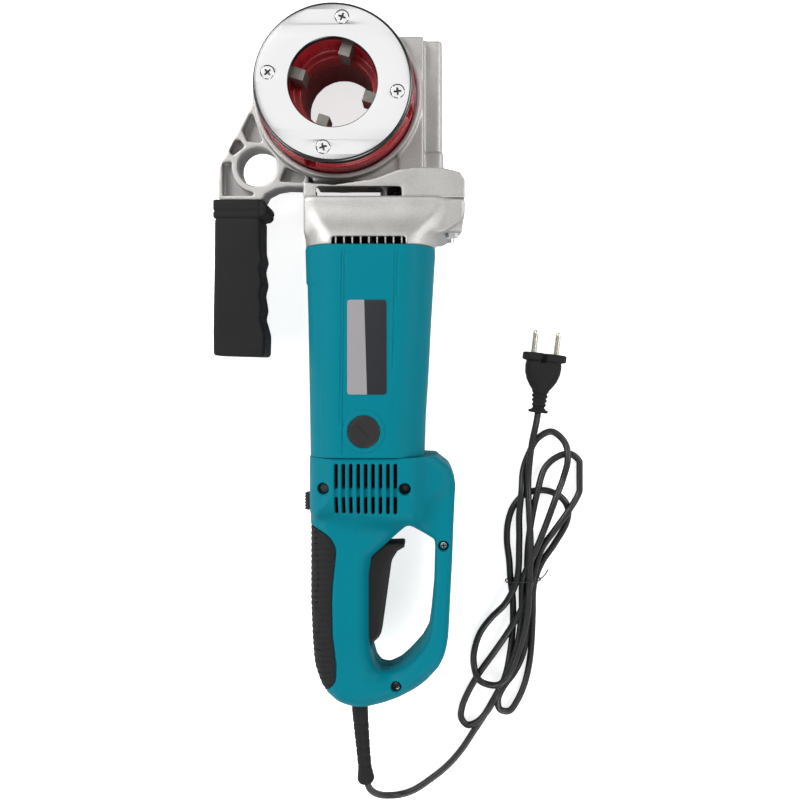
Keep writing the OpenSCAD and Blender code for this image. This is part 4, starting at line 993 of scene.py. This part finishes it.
# %% Brush caps and bosses
BRUSH_X, BRUSH_Y = MOTOR_X - 1.5, MOTOR_END + 20
BOSS = [(12.65, -3.0), (12.65, 0.2), (13.0, 0.62), (15.3, 0.62), (16.1, 0.3), (16.4, -0.4), (16.6, -3.0)]


def cap_height(px, py, r):
    """A flat cap with a shallow ring near its rim and a coin slot two millimetres wide across its middle."""
    u, v = px * 0.71 + py * -0.70, px * 0.70 + py * 0.71
    slot = np.clip((0.85 - np.abs(v)) / 0.3, 0, 1) * np.clip((7.0 - np.abs(u)) / 0.4, 0, 1)
    ring = np.clip(0.9 - np.abs(r - 10.9), 0, 0.5)
    return 0.25 - 0.45 * ring - 0.5 * slot - 0.7 * np.clip((r - 11.8) / 0.6, 0, 1) ** 2


boss_parts, cap_parts = [], []
cap_radii = np.concatenate([np.linspace(0.1, 8.5, 44), np.linspace(8.8, 12.4, 20)])
for side in (1, -1):
    face = MID_Z + side * HALF_Z
    boss_profile = np.array([(r, face + side * h) for r, h in BOSS + BOSS[:1]])
    boss_parts.append(lathe(boss_profile * MM, BRUSH_X * MM, BRUSH_Y * MM))
    cap_parts += disc(BRUSH_X, BRUSH_Y, face + side * 0.32, side, cap_radii, cap_height, 144, 3.0)
add_piece("brush_bosses", boss_parts, "machine", "teal_plastic")
add_piece("brush_cap_pair", cap_parts, "machine", "black_plastic", ["brush_caps"])

# %% Name plate
plate_loop = evenly(turned(sections("name_plate", 0.0896)[0]), 0.0008)
plate_piece = add_piece("bare_name_plate", slab(plate_loop, [], 0.0885, 0.0898, 0.0003), "machine",
                        "plate_print", ["name_plate"])
two_tone = FINISH["plate_print"].node_tree
place = two_tone.nodes.new("ShaderNodeTexCoord")
split_xyz = two_tone.nodes.new("ShaderNodeSeparateXYZ")
two_tone.links.new(place.outputs["Object"], split_xyz.inputs[0])
lean = math_node(two_tone, "MULTIPLY", split_xyz.outputs[1], 0.03)
line = math_node(two_tone, "ADD", split_xyz.outputs[0], lean)
edge = math_node(two_tone, "GREATER_THAN", line, 0.0194)
halves = two_tone.nodes.new("ShaderNodeMix")
halves.data_type = "RGBA"
halves.inputs[6].default_value = (0.26, 0.25, 0.26, 1)
halves.inputs[7].default_value = (0.012, 0.014, 0.018, 1)
two_tone.links.new(edge, halves.inputs[0])
two_tone.links.new(halves.outputs[2], two_tone.nodes["Principled BSDF"].inputs["Base Color"])
print("name plate:", len(plate_piece.data.polygons), "faces")

# %% [markdown]
# ## The castings
# The gear case, the bracket and the support arm are aluminium castings: every edge is a little round, and
# every inside corner has a hollow. The frame's mesh has the right shape but sharp edges. For the gear case and
# the arm, and for the die head's body and its chasers, a copy of it is merged, rebuilt from small cubes, and
# relaxed, which gives all edges the same soft radius at once.

# %% Castings
def cast_copy(name, node, cube, passes, slot, body):
    """A rounded copy of a frame part: its merged mesh, rebuilt from cubes and relaxed."""
    mesh = frame["nodes"][node].data.copy()
    b = bmesh.new()
    b.from_mesh(mesh)
    bmesh.ops.remove_doubles(b, verts=b.verts, dist=1e-6)
    b.to_mesh(mesh)
    b.free()
    return settled(name, mesh, body, slot, [node], passes, cube)


cast_copy("gear_case_casting", "gear_housing", 1.05, 5, "cast_aluminium", "machine")
arm = cast_copy("arm_casting", "support_arm", 0.65, 4, "cast_aluminium", "machine")
# The arm's pocket floors get painted shade: its colour darkens from the rib tops down to the floors.
arm.data.materials[0] = painted_shade_by_height("arm_aluminium_painted_pocket_shade", "cast_aluminium", 0.0355, 0.0415, 0.6)
cast_copy("die_head_casting", "die_body", 0.9, 4, "red_paint", "die_head")
cast_copy("chaser_set", "chasers", 0.4, 1, "tool_steel", "die_head")

# %% [markdown]
# ## The bracket between gear case and motor
# This casting starts with the case's nearly square section and ends with the motor's round-cornered one.
# A copy rebuilt from cubes would keep the frame's straight facets, so it is a field: a rounded rectangle
# whose four sides and corner radius run from one section to the other along a smooth step. The flange with
# its ear and the screw boss melt into it, and the cooling notch, the seats and the hollow are cut out.

# %% Bracket
CASE_END = -86.0
grid = Grid([-27, SEAM - 2, -2], [105, CASE_END + 2, 92], 0.8)
x, y, z = grid.x, grid.y, grid.z
run = np.clip((CASE_END - 4 - y) / (CASE_END - 4 - SEAM), 0, 1)
run = run * run * (3 - 2 * run)
neck = box2(x, z, -23.4, 86 - 9 * run, 0.6 + 0.6 * run, 76 + 12.6 * run, 9 + 17 * run)
neck = round_extrude(neck, np.abs(y - (CASE_END + SEAM) / 2) - (CASE_END - SEAM) / 2, 0.6)
ear = np.array([(-24, -86), (101, -86), (101, -98), (99.5, -103), (94, -106.5), (89, -110), (84, -113),
                (-24, -113)])
ear = outline_distance(softened(evenly(ear, 1.5), 3), grid.flat_x, grid.flat_y)[:, :, None]
ear = np.maximum(round_extrude(ear, np.abs(z - 38) - 38, 3.0), y - CASE_END)
boss = np.maximum(np.hypot(x - 91, z - 62) - 8, np.maximum(y - CASE_END, -111 - y))
bracket = blend(blend(neck, ear, 7.0), boss, 3.0)
bracket = np.maximum(bracket, np.maximum(0.4 - z, np.maximum(-23.6 - x, CASE_END - 34 - 3.6 - y)))
notch_plan = box2(x, y, -0.8, 55.6, SEAM - 8, SEAM + 6.2, 2.2)
notch_ribs = np.maximum(np.abs((x + 0.8) % 6.3 - 3.15) - 0.7, z - 86.0)
bracket = carve(bracket, np.maximum(round_extrude(notch_plan, 78 - z, 0.5), -notch_ribs), 0.5)
bracket = carve(bracket, round_extrude(notch_plan, z - 9, 0.5), 0.5)
for sx, sz, y0, y1, r in ((91, 62, -140, -111, 6.0), (91, 62, -140, -80, 2.8), (-17, 12, -100, -80, 2.8),
                          (-17, 66, -100, -80, 2.8), (91, 10, -112, -80, 2.8)):
    bracket = carve(bracket, np.maximum(np.hypot(x - sx, z - sz) - r, np.maximum(y0 - y, y - y1)))
gear_room = np.maximum(box2(x, z, -20.4, 97.4, 3.6, 72.4, 1.0), -98.5 - y)
fan_room = np.maximum(box2(x, z, -19.5, 70.5, 6.5, 83.5, 22.0), y + 112)
bracket = carve(carve(bracket, gear_room), fan_room)
for node, r, y0 in (("worm_shaft", 13.2, -109), ("intermediate_shaft", 8.2, -111),
                    ("armature_shaft", 13.2, -109), ("armature_shaft", 7.0, -125)):
    shaft_mid = sum(mm_box(node)) / 2
    bracket = carve(bracket, np.maximum(np.hypot(x - shaft_mid[0], z - shaft_mid[2]) - r, y0 - y))
moulded_piece("bracket_casting", bracket, grid, "machine", "cast_aluminium", ["motor_bracket"])

# %% [markdown]
# ## Cover plate and its screws
# The plate is a thick bright ring with a small chamfer. Its level faces are polished and its edges reflect
# the dark side of the room; that reflection is painted on the edges as a near-black material. Four countersunk
# screws hold it. Each head is a flat disc with a cross recess; the recess, the head's rim and the gap round it
# get painted shade in the same near-black material, so the gap shows as a fine dark line.

# %% Cover plate and its screws
PLATE_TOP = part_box("cover_plate")[1][2] / MM
plate_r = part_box("cover_plate")[1][0] + 0.0012
SCREW_CIRCLE, SCREW_R = 50.0, 5.1
screw_angles = [math.radians(a) for a in (-8.3, 81.7, 171.7, 261.7)]
screw_places = [(SCREW_CIRCLE * math.cos(a), SCREW_CIRCLE * math.sin(a)) for a in screw_angles]
holes = [(circle(0, 0, 0.034, 144), 0.0007)] + [(circle(px * MM, py * MM, 0.0054, 48), 0.00015)
                                                for px, py in screw_places]
plate_parts = slab(circle(0, 0, plate_r, 192, True), holes, PLATE_TOP * MM - 0.005, PLATE_TOP * MM, 0.0024)
plate = add_piece("bright_cover_plate", plate_parts, "die_head", "bright_plate", ["cover_plate"], sharp=28)
# The cover plate's chamfer, rims and hole walls get a painted dark reflection in the near-black material.
plate.data.materials.append(FINISH["painted_shade_and_dark_reflection"])
level = np.empty(len(plate.data.polygons) * 3)
plate.data.polygons.foreach_get("normal", level)
plate.data.polygons.foreach_set("material_index", (np.abs(level[2::3]) < 0.985).astype(np.int32))
plate_screw_parts = []
for k, (px, py) in enumerate(screw_places):
    plate_screw_parts += screw(px, py, PLATE_TOP - 0.2, 1, SCREW_R, 0.1, 0.1 + 1.1 * k, 2.6)
heads = add_piece("plate_screw_heads", plate_screw_parts, "die_head", "bright_plate", ["plate_screws"])
# Painted shade on each plate screw's rim, cross recess and skirt in the gap.
shade_below(heads, PLATE_TOP - 0.42)
print("cover plate screws:", len(screw_places))

# %% [markdown]
# ## Grip, trigger and small mouldings
# The arm's grip is a rubber moulding with finger waves along its inner edge and a collar at the top. The
# trigger is a hollow-backed lever. Both are plan outlines pushed up with a large edge radius, made with the
# field tools: the grip's outline is a listed loop, and the trigger's is a level cut through the frame's part.

# %% Grip and trigger
grid, low, high, lift_g = part_grid("arm_grip", 2, 0.7)
print("grip box:", np.round(low, 1), np.round(high, 1))
grip_loop = np.array([(-99.6, -94), (-99.9, -138), (-100.6, -170), (-100.8, -190), (-100.7, -206.6),
                      (-99, -207.4), (-61, -208.4), (-59.4, -207), (-59, -190.5), (-61.4, -181.5),
                      (-63.0, -177), (-61.2, -169.6), (-63.3, -157), (-61.1, -148.6), (-63.3, -137.1),
                      (-60.9, -129.8), (-62.7, -122.5), (-62.8, -113), (-62.6, -94)])
gx, gy = grid.x, grid.y
grip_plan = outline_distance(softened(evenly(grip_loop, 1.2), 2), grid.flat_x, grid.flat_y)[:, :, None]
grip = round_extrude(grip_plan, lift_g - 15.6, 2.6)
roll = np.hypot(gx + 62.2, (gy + 89.6) * 0.85) - 5.6
collar = np.minimum(box2(gx, gy, -100.8, -61.0, -96.8, high[1], 1.5), roll)
collar = round_extrude(collar, lift_g - 16.6, 2.4)
band_line = 0.8 * np.clip(1.2 - np.abs(gy + 90.8) / 0.8, 0, 1)
band_line = band_line + 0.9 * np.clip(1.2 - np.abs(gy + 97.2) / 0.8, 0, 1)
roll_line = 0.8 * np.clip(1.2 - np.abs(gx + 62.6) / 0.7, 0, 1) * (gy > -97)
grip = blend(grip, collar, 1.5) + band_line + roll_line
grip = np.maximum(grip, -np.maximum(np.maximum(np.abs(gx + 90.7 - 8.0) - 8.2, lift_g - 4.2), -201 - gy))
moulded_piece("finger_grip", grip, grid, "machine", "black_rubber", ["arm_grip"])

grid, low, high, lift_t = part_grid("trigger", 2, 0.5)
trigger_loop = softened(evenly(turned(sections("trigger", MID_Z * MM)[0] / MM), 0.6), 1)
trigger_plan = outline_distance(trigger_loop, grid.flat_x, grid.flat_y)[:, :, None]
moulded_piece("trigger_lever", round_extrude(trigger_plan, lift_t - (high[2] - low[2]) / 2, 2.2), grid,
              "trigger", "black_plastic", ["trigger"])

# %% [markdown]
# ## Direction switch and strain relief
# A small ridged slider on the palm side chooses the direction. Where the cord leaves the handle, a soft
# sleeve keeps it from bending sharply: a tube that flares at its end, with grooves that let it bend.

# %% Direction switch and strain relief
grid, low, high, lift_s = part_grid("direction_switch", 1, 0.35)
slider = round_extrude(box2(grid.x, grid.y, low[0], high[0], low[1], high[1], 0.8),
                       lift_s - (high[2] - low[2]) / 2, 0.8)
ridges = 0.35 * (1 + np.cos(2 * np.pi * (grid.y - low[1]) / 2.4))
ridges = ridges * np.clip((low[0] + 2.5 - grid.x) / 1.5, 0, 1)
moulded_piece("direction_slider", slider + ridges, grid, "direction_switch", "black_plastic",
              ["direction_switch"])

relief_low, relief_high = mm_box("strain_relief")
share = np.linspace(0, 1, 150)
relief_y = (relief_high[1] - 1) + (relief_low[1] - relief_high[1] + 1) * share
relief_line = np.stack([16.3 + 5.0 * share ** 1.2, relief_y, SPLIT - 12 * share ** 1.3], axis=1)
relief_r = 5.4 + sum(grow * np.clip((share - start) / length, 0, 1)
                     for grow, start, length in ((1.1, 0.1, 0.12), (-0.9, 0.22, 0.5), (1.3, 0.86, 0.1)))
groove = np.clip(np.cos(2 * np.pi * share * 11) * 2.2 - 1.1, 0, 1) * (share > 0.3) * (share < 0.84)
relief_r = np.minimum(relief_r - 0.7 * groove, 6.9) * np.where(share > 0.985, 0.9, 1)
relief_line[-1, 1] = relief_low[1] + 0.05
add_piece("cord_sleeve", sweep(relief_line * MM, relief_r * MM, 40), "machine", "black_rubber",
          ["strain_relief"])

# %% [markdown]
# ## Plug
# A moulded two-pin plug: a small flange and a ribbed neck where the cord enters, a body that widens like a
# shield, and a broad face flange with a notch. Its section is a rounded oval whose width and height change
# along the plug, so it is one field in the plug's own direction, which is turned a little to the right.

# %% Plug
plug_at, tilt = np.array([164.2, -254.5, 14.0]), math.radians(-6.8)
grid = Grid([138, -258, -1], [196, -199, 29], 0.55)
ex, ey = grid.x - plug_at[0], grid.y - plug_at[1]
cos_t, sin_t = math.cos(tilt), math.sin(tilt)
v, u, w = ex * cos_t + ey * sin_t, ey * cos_t - ex * sin_t, grid.z - plug_at[2]
STATIONS = [0, 2.6, 2.9, 4, 19, 22, 27, 33, 39, 43.2, 43.8, 50]
WIDE = [8.2, 8.2, 5.6, 5.7, 7.0, 9.4, 12.6, 14.6, 15.2, 14.6, 18.3, 18.3]
THICK = [7.8, 7.8, 5.4, 5.5, 6.3, 7.8, 9.6, 10.6, 10.9, 10.8, 13.2, 13.2]
wide, thick = np.interp(u, STATIONS, WIDE), np.interp(u, STATIONS, THICK)
neck_ribs = 0.9 * np.clip(np.cos(2 * np.pi * (u - 1.2) / 3.7) * 2, 0, 1) * (u > 4) * (u < 18.5)
plug = ((np.abs(v) / wide) ** 2.6 + (np.abs(w) / thick) ** 2.6) ** (1 / 2.6)
plug = (plug - 1) * np.minimum(wide, thick) + neck_ribs
plug = round_extrude(plug, np.abs(u - 25) - 24.9, 0.9)
notch = np.maximum(np.maximum(np.abs(v + 1.0 - 0.12 * (u - 46)) - 2.2, 42.0 - u), 8.6 - w)
plug = carve(plug, notch, 0.6)
panel = np.maximum(np.abs(v) - 7.0 + 0.25 * np.abs(u - 38), np.abs(u - 32) - 6.5)
panel = np.maximum(panel, 10.0 - w - 0.12 * np.abs(u - 38))
plug = carve(plug, panel, 0.8)
moulded_piece("mains_plug", plug, grid, "machine", "black_rubber", ["plug_body"])
pin_parts = []
PIN_R, PIN_STRAIGHT, PIN_SIDE = 2.38, 66.6, 9.5
tip = PIN_STRAIGHT + PIN_R * np.sin(np.linspace(0.15, 1.56, 9))
pin_u = np.concatenate([[48.0, 50.0], np.linspace(52, PIN_STRAIGHT, 12), tip])
pin_r = PIN_R * np.sqrt(np.clip(1 - (np.clip(pin_u - PIN_STRAIGHT, 0, PIN_R) / 2.4) ** 2, 0.0005, 1))
for side in (-PIN_SIDE, PIN_SIDE):
    pin = np.column_stack([plug_at[0] + side * cos_t - pin_u * sin_t,
                           plug_at[1] + side * sin_t + pin_u * cos_t, np.full(len(pin_u), plug_at[2])])
    pin_parts += sweep(pin * MM, pin_r * MM, 32)
add_piece("plug_pin_pair", pin_parts, "machine", "plug_metal", ["plug_pins"])
